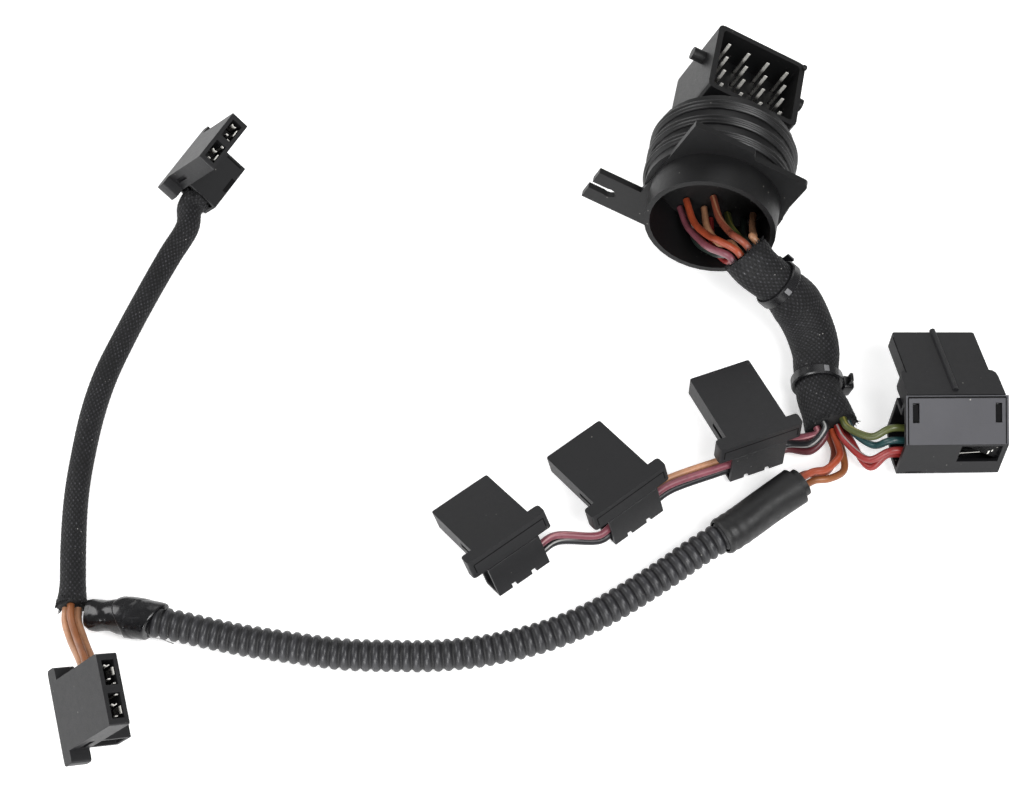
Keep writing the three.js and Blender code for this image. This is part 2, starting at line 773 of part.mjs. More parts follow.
function bulkheadHousing() {
  const backStart = DRUM_LENGTH - 1;
  const headerFront = DRUM_LENGTH + 3;
  const headerBack = headerFront + HEADER_LENGTH;
  const halfWidth = HEADER_WIDTH / 2;
  const corner = [HEADER_CORNER, HEADER_CORNER, HEADER_CORNER, HEADER_CORNER];
  const outer = cornered(-halfWidth, halfWidth, headerFront, headerBack, corner);
  const inner = cornered(-halfWidth + HEADER_WALL, halfWidth - HEADER_WALL,
    headerFront + HEADER_WALL, headerBack - HEADER_WALL, corner.map((c) => c / 2));
  const floor = HEADER_TOP - HEADER_DEPTH;
  const peg = new THREE.CylinderGeometry(PEG_RADIUS, PEG_RADIUS, HEADER_WIDTH + 2 * PEG_LENGTH, 12);
  peg.rotateZ(Math.PI / 2).translate(0, headerBack - PEG_FROM_BACK, HEADER_TOP - PEG_BELOW_RIM);
  const rearPlate = facing(rearPlateOutline(), DRUM_LENGTH - 1, DRUM_LENGTH - 1 + REAR_PLATE_THICK);
  const bodies = [
    turned(drumProfile(), 36),
    facing(flangeOutline(), -FLANGE_THICK / 2, FLANGE_THICK / 2),
    upright(outer, -HEADER_BOTTOM, HEADER_TOP),
    box(-halfWidth + 1, halfWidth - 1, backStart, headerFront + 2, -HEADER_BOTTOM + 1, floor + 2),
    rearPlate,
    peg,
  ];
  const cupRadius = CUP_RADIUS - CUP_WALL;
  const cupMouth = -CUP_LENGTH - 1;
  const cup = turned([[0, cupMouth], [cupRadius, cupMouth], [cupRadius, CUP_FLOOR], [0, CUP_FLOOR]], 36);
  const pinBores = pinPlaces().map(([x, y]) => box(x - PIN_WIDE / 2 - SEAT_GAP, x + PIN_WIDE / 2 + SEAT_GAP,
    y - PIN_THICK / 2 - SEAT_GAP, y + PIN_THICK / 2 + SEAT_GAP, floor - 1.5, floor + 1));
  return combine(bodies, [cup, upright(inner, floor, HEADER_TOP + 1), ...pinBores]);
}

// Pin centres in X and Y, column by column.
function pinPlaces() {
  const middle = DRUM_LENGTH + 3 + HEADER_LENGTH / 2;
  const places = [];
  for (let column = 0; column < PIN_COLUMNS; column += 1) {
    for (let row = 0; row < PIN_ROWS; row += 1) {
      const x = (column - (PIN_COLUMNS - 1) / 2) * PIN_COLUMN_PITCH;
      const y = middle + (row - (PIN_ROWS - 1) / 2) * PIN_ROW_PITCH;
      places.push([x, y]);
    }
  }
  return places;
}

function contactPin(x, y) {
  const base = HEADER_TOP - HEADER_DEPTH - 1.5 + SEAT_GAP;
  const top = HEADER_TOP - HEADER_DEPTH + PIN_HEIGHT;
  const shoulder = top - PIN_TIP;
  const blade = [[-PIN_THICK / 2, base], [PIN_THICK / 2, base], [PIN_THICK / 2, shoulder],
    [PIN_THICK / 5, top], [-PIN_THICK / 5, top], [-PIN_THICK / 2, shoulder]];
  return across(blade, -PIN_WIDE / 2, PIN_WIDE / 2).translate(x, y, 0);
}

function sealRing(index) {
  const middle = sealGroove(index);
  const inside = DRUM_RADIUS - SEAL_GROOVE + SEAT_GAP;
  const outside = DRUM_RADIUS + SEAL_PROUD;
  const half = SEAL_WIDTH / 2 - SEAT_GAP;
  const profile = [[inside, -half], [outside - SEAL_DIP, -half], [outside, -half * 0.6], [outside - SEAL_DIP, 0],
    [outside, half * 0.6], [outside - SEAL_DIP, half], [inside, half], [inside, -half]];
  return turned(profile.map(([radius, y]) => [radius, middle + y]), 36);
}

// Flat plug: its big face is at z = 0, its ears start at y = 0 and its tip points along +Y

function plugBody() {
  const half = PLUG_WIDTH / 2;
  const c = PLUG_TIP_CORNER;
  const tip = EAR_DEPTH + PLUG_LENGTH;
  const blade = cornered(-half, half, EAR_DEPTH - 1, tip, [c, c, 0.01, 0.01]);
  const e = EAR_CORNER;
  const ears = cornered(-EAR_WIDTH / 2, EAR_WIDTH / 2, 0, EAR_DEPTH, [e, e, e, e]);
  const cuts = [];
  for (let i = 0; i < CAVITY_COUNT; i += 1) {
    const x = (i - (CAVITY_COUNT - 1) / 2) * CAVITY_PITCH;
    const z = -PLUG_THICK / 2;
    cuts.push(box(x - CAVITY_WIDE / 2, x + CAVITY_WIDE / 2, tip - CAVITY_DEPTH, tip + 1,
      z - CAVITY_HIGH / 2, z + CAVITY_HIGH / 2));
  }
  for (const side of [-1, 1]) {
    const x = side * half;
    cuts.push(box(x - SIDE_SLOT_DEEP, x + SIDE_SLOT_DEEP, EAR_DEPTH + 1.5, EAR_DEPTH + 1.5 + SIDE_SLOT_LONG,
      -PLUG_THICK / 2 - SIDE_SLOT_HIGH / 2, -PLUG_THICK / 2 + SIDE_SLOT_HIGH / 2));
  }
  const foot = box(-COVER_WIDTH / 2, COVER_WIDTH / 2, EAR_DEPTH - 1, COVER_DEPTH, -PLUG_THICK, -PLUG_THICK + 2);
  return combine([upright(blade, -PLUG_THICK, 0), upright(ears, -PLUG_THICK, 0), foot], cuts);
}

function plugCover() {
  const half = COVER_WIDTH / 2;
  const top = -PLUG_THICK - SEAT_GAP;
  const w = COVER_WALL;
  const channel = [[0, top], [0, -COVER_BOTTOM], [COVER_DEPTH, -COVER_BOTTOM], [COVER_DEPTH, top],
    [COVER_DEPTH - w, top], [COVER_DEPTH - w, -COVER_BOTTOM + w], [w, -COVER_BOTTOM + w], [w, top]];
  const cuts = [-1, 1].map((side) => {
    const x = (side * COVER_NOTCH_PITCH) / 2;
    return box(x - COVER_NOTCH_WIDE / 2, x + COVER_NOTCH_WIDE / 2, -1, COVER_LIP,
      -COVER_BOTTOM - 1, -COVER_BOTTOM + COVER_NOTCH_HIGH);
  });
  return combine([across(channel, -half, half)], cuts);
}

// Wide plug: its deck and tip are flat, and its cover slopes down from the edge at y = 0

function widePlugBody() {
  const half = WIDE_WIDTH / 2;
  const tip = WIDE_DECK + WIDE_LENGTH;
  const blade = cornered(-half, half, WIDE_DECK - 1, tip, [0.8, 0.8, 0.01, 0.01]);
  const deck = cornered(-WIDE_DECK_WIDTH / 2, WIDE_DECK_WIDTH / 2, 0, WIDE_DECK, [3, 3, 0.01, 0.01]);
  const rib = new THREE.CylinderGeometry(WIDE_RIB_RADIUS, WIDE_RIB_RADIUS, tip - 2 + 0.8, 10);
  rib.translate(0, 2 + (tip - 2 + 0.8) / 2, 0);
  const cuts = [];
  for (let i = 0; i < WIDE_CAVITY_COUNT; i += 1) {
    const x = (i - (WIDE_CAVITY_COUNT - 1) / 2) * WIDE_CAVITY_PITCH;
    const z = -WIDE_THICK / 2 - 0.2;
    cuts.push(box(x - WIDE_CAVITY_WIDE / 2, x + WIDE_CAVITY_WIDE / 2, tip - WIDE_CAVITY_DEPTH, tip + 1,
      z - WIDE_CAVITY_HIGH / 2, z + WIDE_CAVITY_HIGH / 2));
  }
  return combine([upright(blade, -WIDE_THICK, 0), upright(deck, -WIDE_THICK, 0), rib], cuts);
}

function widePlugCover() {
  const half = WIDE_COVER_WIDTH / 2;
  const w = WIDE_COVER_WALL;
  const top = -WIDE_THICK - SEAT_GAP;
  const edge = -SEAT_GAP;
  const outer = [[edge, 0], [-WIDE_SLOPE_REACH, -WIDE_SLOPE_DROP], [-WIDE_SLOPE_REACH, -WIDE_COVER_HEIGHT],
    [WIDE_COVER_HEEL, -WIDE_COVER_HEIGHT], [WIDE_COVER_BACK, WIDE_COVER_RISE - WIDE_COVER_HEIGHT],
    [WIDE_COVER_BACK, top], [edge, top]];
  const inner = [[edge - w, -2.5 * w], [-WIDE_SLOPE_REACH + w, -WIDE_SLOPE_DROP - w / 2],
    [-WIDE_SLOPE_REACH + w, -WIDE_COVER_HEIGHT + w], [WIDE_COVER_HEEL - w / 2, -WIDE_COVER_HEIGHT + w],
    [WIDE_COVER_BACK - w, WIDE_COVER_RISE - WIDE_COVER_HEIGHT + w / 2],
    [WIDE_COVER_BACK - w, top - w], [edge - w, top - w]];
  const slope = Math.atan2(WIDE_SLOPE_DROP, WIDE_SLOPE_REACH);
  const slots = [-1, 1].map((side) => {
    const x = side * (half - LATCH_SLOT_INSET - LATCH_SLOT_WIDE / 2);
    const slot = box(x - LATCH_SLOT_WIDE / 2, x + LATCH_SLOT_WIDE / 2,
      -LATCH_SLOT_FROM_TOP - LATCH_SLOT_LONG, -LATCH_SLOT_FROM_TOP, -2, 2);
    return slot.rotateX(slope);
  });
  const window = box(half - WINDOW_INSET - WINDOW_WIDE, half - WINDOW_INSET, -WIDE_SLOPE_REACH - 1,
    -WIDE_SLOPE_REACH + 2 * w, -WIDE_SLOPE_DROP - 0.8 - WINDOW_HIGH, -WIDE_SLOPE_DROP - 0.8);
  return combine([across(outer, -half, half)], [across(inner, -half - 1, half - w), ...slots, window]);
}

function contactStrip() {
  const right = WIDE_COVER_WIDTH / 2 - WIDE_COVER_WALL - SEAT_GAP;
  const y = -WIDE_SLOPE_REACH + WIDE_COVER_WALL + SEAT_GAP;
  const top = -WIDE_SLOPE_DROP - 1.6;
  const profile = [[y, top], [y, top - STRIP_HIGH], [y + STRIP_THICK, top - STRIP_HIGH],
    [y + STRIP_THICK, top - STRIP_THICK], [y + 5, top - STRIP_THICK], [y + 5, top]];
  return across(profile, right - STRIP_LONG, right);
}

// Sleeves, conduit, tape and ties

// Extra radius near the ends of a braided sleeve, where its yarns spread.
function flare(distance, length, size) {
  const fromEnd = Math.min(distance, length - distance);
  const share = Math.max(0, 1 - fromEnd / FLARE_REACH);
  return size * share * share;
}

// The radius that a list of distances and radii gives, straight between its entries.
function girthAt(list, distance) {
  const next = list.findIndex(([at]) => at >= distance);
  if (next <= 0) {
    return next === 0 ? list[0][1] : list[list.length - 1][1];
  }
  const [low, before] = list[next - 1];
  const [high, after] = list[next];
  return before + ((after - before) * (distance - low)) / (high - low);
}

function trunkRadius(distance, length) {
  const fromEnd = TRUNK_END_GIRTH.map(([at, radius]) => [length - at, radius]);
  return girthAt([...TRUNK_GIRTH, ...fromEnd], distance);
}

function branchRadius(distance, length) {
  return BRANCH_RADIUS + flare(distance, length, BRANCH_FLARE);
}

function braidedSleeve(route, radiusAt, sides, step) {
  const curve = routeCurve(route);
  const length = curve.getLength();
  const profile = stations(0, length, step).map((at) => [at, radiusAt(at, length)]);
  return lofted(curve, profile, sides, false);
}

function conduit() {
  const curve = routeCurve(CONDUIT_ROUTE);
  const length = curve.getLength();
  const ribs = Math.floor(length / CONDUIT_PITCH);
  const margin = (length - ribs * CONDUIT_PITCH) / 2;
  const outer = [[0, CONDUIT_VALLEY]];
  for (let i = 0; i < ribs; i += 1) {
    const middle = margin + CONDUIT_PITCH * (i + 0.5);
    outer.push([middle - CONDUIT_CREST / 2, CONDUIT_RADIUS]);
    outer.push([middle + CONDUIT_CREST / 2, CONDUIT_RADIUS]);
    outer.push([middle + CONDUIT_PITCH / 2, CONDUIT_VALLEY]);
  }
  outer.push([length, CONDUIT_VALLEY]);
  const bore = stations(0, length, 3 * CONDUIT_PITCH).map((at) => [at, CONDUIT_BORE]);
  return lofted(curve, [...outer, ...bore.reverse()], CONDUIT_SIDES, true);
}

function endSleeve() {
  const curve = routeCurve(END_SLEEVE_ROUTE);
  const length = curve.getLength();
  const overBore = CONDUIT_RADIUS + CORD_GAP;
  const outside = overBore + END_SLEEVE_WALL;
  const overlap = END_SLEEVE_OVERLAP;
  const mouthBore = CONDUIT_RADIUS - 0.2;
  const outer = [[0, outside], ...stations(overlap, length - 2, 6).map((at) => [at, outside]), [length, outside + 0.5]];
  const inner = [[length, mouthBore + 0.4], [length - 2, mouthBore], [overlap + 1, mouthBore], [overlap, overBore],
    [0, overBore]];
  return lofted(curve, [...outer, ...inner], TRUNK_SIDES, true);
}

function tapeWrap() {
  const curve = routeCurve(TAPE_ROUTE);
  const length = TAPE_LENGTH;
  const overBore = CONDUIT_RADIUS + CORD_GAP;
  const outside = overBore + TAPE_WALL;
  const pocket = length - TAPE_POCKET;
  const profile = [[0, TAPE_NECK_RADIUS - 0.6], [1.5, TAPE_NECK_RADIUS], [TAPE_NECK_LENGTH, TAPE_NECK_RADIUS + 0.3],
    [TAPE_NECK_LENGTH + 2.5, outside - 0.2], [pocket, outside], [length, outside - 0.2]];
  const bore = stations(pocket, length + 1, 2).map((at) => [at, overBore]);
  const cut = lofted(curve, bore, TRUNK_SIDES, false);
  return combine([lofted(curve, profile, TRUNK_SIDES, false)], [cut]);
}

// A tie's strap rings the Z axis, with its head on the side of +X.
function cableTie(radius) {
  const inside = radius + CORD_GAP;
  const outside = inside + TIE_THICK;
  const half = TIE_WIDTH / 2;
  const strap = turned([[inside, -half], [outside, -half], [outside, half], [inside, half], [inside, -half]], 24);
  strap.rotateX(Math.PI / 2);
  const headHalf = TIE_HEAD_WIDE / 2;
  const head = box(outside - 0.5, outside + TIE_HEAD_HIGH, -TIE_HEAD_LONG / 2, TIE_HEAD_LONG / 2, -headHalf, headHalf);
  const tail = box(outside + 1, outside + 1 + TIE_THICK, TIE_HEAD_LONG / 2 - 0.5, TIE_HEAD_LONG / 2 + TIE_TAIL_LONG,
    -half + 0.3, half - 0.3);
  return combine([strap, head, tail], []);
}

// Assembly

const harness = new THREE.Group();

function addMesh(parent, name, geometry, finish) {
  const mesh = new THREE.Mesh(geometry, new THREE.MeshStandardMaterial(finish));
  mesh.name = name;
  parent.add(mesh);
  return mesh;
}

const bulkhead = frames.bulkhead;
addMesh(bulkhead, "bulkhead_housing", bulkheadHousing(), FINISHES.housing);
for (let i = 0; i < SEAL_COUNT; i += 1) {
  addMesh(bulkhead, `seal_ring_${i + 1}`, sealRing(i), FINISHES.seal);
}
pinPlaces().forEach(([x, y], i) => {
  addMesh(bulkhead, `contact_pin_${String(i + 1).padStart(2, "0")}`, contactPin(x, y), FINISHES.tin);
});
harness.add(bulkhead);

for (const letter of ["a", "b", "c", "e", "f"]) {
  const plug = frames[`plug_${letter}`];
  addMesh(plug, `plug_${letter}_body`, plugBody(), FINISHES.plug);
  addMesh(plug, `plug_${letter}_cover`, plugCover(), FINISHES.plug);
  harness.add(plug);
}

addMesh(frames.plug_d, "plug_d_body", widePlugBody(), FINISHES.plug);
addMesh(frames.plug_d, "plug_d_cover", widePlugCover(), FINISHES.plug);
addMesh(frames.plug_d, "plug_d_contact_strip", contactStrip(), FINISHES.tin);
harness.add(frames.plug_d);

addMesh(harness, "trunk_sleeve", braidedSleeve(TRUNK_ROUTE, trunkRadius, TRUNK_SIDES, 3), FINISHES.braid);
addMesh(harness, "branch_sleeve", braidedSleeve(BRANCH_ROUTE, branchRadius, BRANCH_SIDES, 5), FINISHES.braid);
addMesh(harness, "conduit", conduit(), FINISHES.conduit);
addMesh(harness, "conduit_end_sleeve", endSleeve(), FINISHES.tape);
addMesh(harness, "conduit_tape", tapeWrap(), FINISHES.tape);

const trunkCurve = routeCurve(TRUNK_ROUTE);
const trunkLength = trunkCurve.getLength();
const ties = { cable_tie_upper: [UPPER_TIE_FROM_TOP, -35], cable_tie_lower: [trunkLength - LOWER_TIE_FROM_END, 10] };
for (const [name, [distance, turn]] of Object.entries(ties)) {
  const edges = [distance - TIE_WIDTH / 2, distance + TIE_WIDTH / 2];
  const radius = Math.max(...edges.map((edge) => trunkRadius(edge, trunkLength)));
  const tie = addMesh(harness, name, cableTie(radius), FINISHES.tie);
  const spin = new THREE.Matrix4().makeRotationZ(THREE.MathUtils.degToRad(turn));
  tie.applyMatrix4(frameAlong(trunkCurve, distance).multiply(spin));
}

for (const group of [CHAIN_WIRES, WIDE_WIRES, CONDUIT_WIRES, TAIL_WIRES, CUP_WIRES]) {
  for (const [name, { colour, route }] of Object.entries(group)) {
    const finish = { color: WIRE_COLOURS[colour], roughness: 0.45, metalness: 0 };
    addMesh(harness, name, wireTube(route), finish);
  }
}

// The origin is the middle of the footprint, at the surface that the harness lies on
const part = new THREE.Group();
const bounds = new THREE.Box3().setFromObject(harness, true);
harness.position.set(-(bounds.min.x + bounds.max.x) / 2, -(bounds.min.y + bounds.max.y) / 2, -bounds.min.z);
part.add(harness);

export default part;
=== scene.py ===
"""Looks of a gearbox wiring harness: braided cords, ribbed conduit, flat plugs and a round bulkhead connector."""
from __future__ import annotations

import logging
import math
from collections.abc import Callable, Iterable, Sequence
from dataclasses import dataclass, field
from enum import Enum

import bmesh
import bpy
import numpy as np
from mathutils import Matrix, Vector


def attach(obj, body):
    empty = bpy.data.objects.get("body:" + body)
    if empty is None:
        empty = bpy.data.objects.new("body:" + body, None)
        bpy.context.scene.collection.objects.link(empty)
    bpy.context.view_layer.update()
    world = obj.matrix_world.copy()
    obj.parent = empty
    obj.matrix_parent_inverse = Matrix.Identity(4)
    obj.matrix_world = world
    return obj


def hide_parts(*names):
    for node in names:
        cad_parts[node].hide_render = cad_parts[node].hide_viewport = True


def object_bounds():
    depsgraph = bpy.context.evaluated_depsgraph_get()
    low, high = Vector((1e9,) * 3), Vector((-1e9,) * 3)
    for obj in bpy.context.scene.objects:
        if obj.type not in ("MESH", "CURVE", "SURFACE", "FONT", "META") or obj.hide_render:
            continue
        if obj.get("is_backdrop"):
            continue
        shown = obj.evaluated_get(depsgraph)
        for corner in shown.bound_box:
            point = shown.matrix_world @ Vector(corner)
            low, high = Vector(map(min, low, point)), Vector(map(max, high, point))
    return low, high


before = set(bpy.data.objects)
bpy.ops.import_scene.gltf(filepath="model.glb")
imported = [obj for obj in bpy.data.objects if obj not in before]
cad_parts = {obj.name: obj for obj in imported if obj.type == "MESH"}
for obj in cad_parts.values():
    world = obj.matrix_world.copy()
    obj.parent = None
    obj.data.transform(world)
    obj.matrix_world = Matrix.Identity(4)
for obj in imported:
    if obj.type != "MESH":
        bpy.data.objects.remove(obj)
CAD_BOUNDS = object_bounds()

LOG = logging.getLogger("harness")

MM = 0.001
ROOT = "root"
SKIN_MAP = "skin"
RELIEF = "relief"
YARN_TONE_AND_SHADE = "strand"
WORN = "worn"

# From the floor's axes to the row frame, in millimetres
ROW_SHIFT = np.array([-7.986, 9.233, 0.431])

# Where each connector and cord end lies: x, y, z in millimetres, then yaw, pitch and roll in degrees
PLACES: dict[str, tuple[float, ...]] = {
    "floor": (0, 0, 0, 0, 0, 0),
    "bulkhead": (68, 57.4, 32.6, -11.2, -5, 23.7),
    "plug_a": (79.9, -28.5, 20, 23.7, -6.4, 3.9),
    "plug_b": (36.8, -48.9, 20.8, 35.6, -15, -4.8),
    "plug_c": (-1.7, -65.4, 21.1, 33.4, -25.1, -5.5),
    "plug_d": (142.4, -15.8, 25.3, 8, -12.8, 9.1),
    "plug_e": (-116.2, 90, 12.2, -119.3, 53.1, 0.4),
    "plug_f": (-136.2, -122.5, 13, -94.8, 53.9, 23.4),
    "trunk_top": (76.6, 33.4, 33.2, 44.5, 24, 0),
    "trunk_end": (104, -17.5, 8.6, 12, 2, 0),
    "conduit_mouth": (92.8, -38.2, 8.4, -52, -4, 0),
    "branch_root": (-137.2, -81, 5.2, 0, 0, 0),
}

Route = Sequence[tuple[str, float, float, float]]


def at(place: str, *points: tuple[float, float, float]) -> Route:
    """Points of a route that lie in one place's own axes, in millimetres."""
    return tuple((place, *point) for point in points)


TRUNK_ROUTE: Route = (
    *at("trunk_top", (0, 0, 0), (0, -5, 0)),
    *at("floor", (88.8, 26.4, 24.6), (95.2, 24.2, 16.8), (99.2, 18.2, 11.4), (100.8, 11, 9.2), (100.6, 4.5, 8.6),
        (101, -5.5, 8.6)),
    *at("trunk_end", (0, 5, 0), (0, 0, 0)),
)
CONDUIT_ROUTE: Route = at(
    "floor", (-112.5, -86.5, 6.4), (-103, -88.5, 6), (-84, -92.5, 5.1), (-66, -95.5, 5.1), (-51.5, -97.5, 5.1),
    (-36.5, -98, 5.1), (-24.5, -98, 5.1), (-10, -96.5, 5.1), (1.5, -94, 5.1), (12.5, -90.5, 5.1),
    (23.5, -85.5, 5.1), (31.5, -81, 5.1), (47, -70.5, 5.1), (59.5, -61.5, 5.8), (72, -53.6, 6.5))
END_SLEEVE_ROUTE: Route = (
    *at("floor", (66.2, -57.3, 6.2), (72, -53.6, 6.5), (82, -46, 7.4)), *at("conduit_mouth", (0, 0, 0)),
)
TAPE_ROUTE: Route = at(
    "floor", (-132.3, -83.6, 5), (-126.5, -84.4, 5.2), (-121.5, -85, 6.1), (-112.5, -86.5, 6.4), (-103, -88.5, 6))
BRANCH_ROUTE: Route = (
    *at("branch_root", (0, 0, 0), (-0.4, 6, 0)),
    *at("floor", (-139, -60.5, 5), (-140, -41, 4.6), (-139.5, -26, 4.6), (-138, -10.5, 4.6), (-135, 5, 4.6),
        (-130, 21, 4.6), (-124, 37, 5), (-117.5, 53, 5.8), (-112.2, 64, 7.4)),
    *at("plug_e", (14, 4.3, -12.6), (10.4, 4.3, -12.6)),
)


class Hue(Enum):
    """Colours of the wires' insulation, as red, green and blue in the display's own space."""

    MAUVE = (124, 68, 78)
    PEACH = (176, 128, 96)
    OCHRE = (136, 82, 46)
    ORANGE = (148, 64, 38)
    BROWN = (136, 70, 52)
    CRIMSON = (92, 40, 46)
    RED = (126, 34, 32)
    OLIVE = (70, 76, 36)
    TEAL = (26, 58, 60)
    GREEN = (30, 40, 36)
    BLACK = (28, 28, 31)
    WHITE = (150, 150, 148)
    PINK = (176, 122, 126)
    YELLOW = (128, 120, 56)


@dataclass(frozen=True)
class Wire:
    """One insulated wire: its route, its colour and the thin tracer line along it."""

    name: str
    hue: Hue
    route: Route
    tracer: Hue | None = None


LANE_MIDDLE = 4.3
LANE_DEPTH = 14.6
LANE_PITCH = 2.7
CUP_START = 4.55


def lane(plug: str, x: float, eighths: int) -> tuple[str, float, float, float]:
    """A point in one of the four lanes under a flat plug's cover.

    Args:
        plug: place of the plug.
        x: distance across the plug, in millimetres.
        eighths: place round the middle in eighths of a turn, from the upper corner at the back.

    Returns:
        The place and the offset in it.
    """
    angle = (1 + eighths) * math.pi / 4
    reach = LANE_PITCH / math.sqrt(2)
    return (plug, x, LANE_MIDDLE + reach * math.cos(angle), reach * math.sin(angle) - LANE_DEPTH)


def chain(start: Route, first: int, last: str) -> Route:
    """The route of a wire from the trunk through plug A, which it leaves a quarter of a turn further round.

    Args:
        start: its points at the trunk's end.
        first: its lane as it enters plug A.
        last: the place of the plug in which it ends.

    Returns:
        The whole route.
    """
    stations = [("plug_a", 12.5, 0), ("plug_a", 8, 0), ("plug_a", 0, 1), ("plug_a", -8, 2), ("plug_a", -13, 2),
                ("plug_b", 15, 2), ("plug_b", 8, 2)]
    if last == "plug_b":
        stations.append(("plug_b", -6, 2))
    else:
        stations += [("plug_b", -8, 2), ("plug_b", -13, 2), ("plug_c", 15, 2), ("plug_c", 8, 2), ("plug_c", -6, 2)]
    return (*start, *(lane(plug, x, first + more) for plug, x, more in stations))


def to_wide_plug(y: float, z: float) -> Route:
    """The last points of a wire that runs straight into the wide plug."""
    return at("plug_d", (-20, y, z), (-12, y, z))


def to_conduit(x: float, y: float, z: float) -> Route:
    """The last points of a wire that runs straight into the conduit's mouth."""
    return at("conduit_mouth", (x, y, z), (x, -8, z))


def to_tail_plug(y: float, z: float) -> Route:
    """The last points of a wire that runs straight into the plug at the branch's root."""
    return at("plug_f", (-14, y, z), (-8, y, z), (6, y, z))


def to_trunk(x: float, z: float) -> Route:
    """The last points of a wire that runs from the cup straight into the trunk."""
    return at("trunk_top", (x, 3, z), (x, 0.5, z))


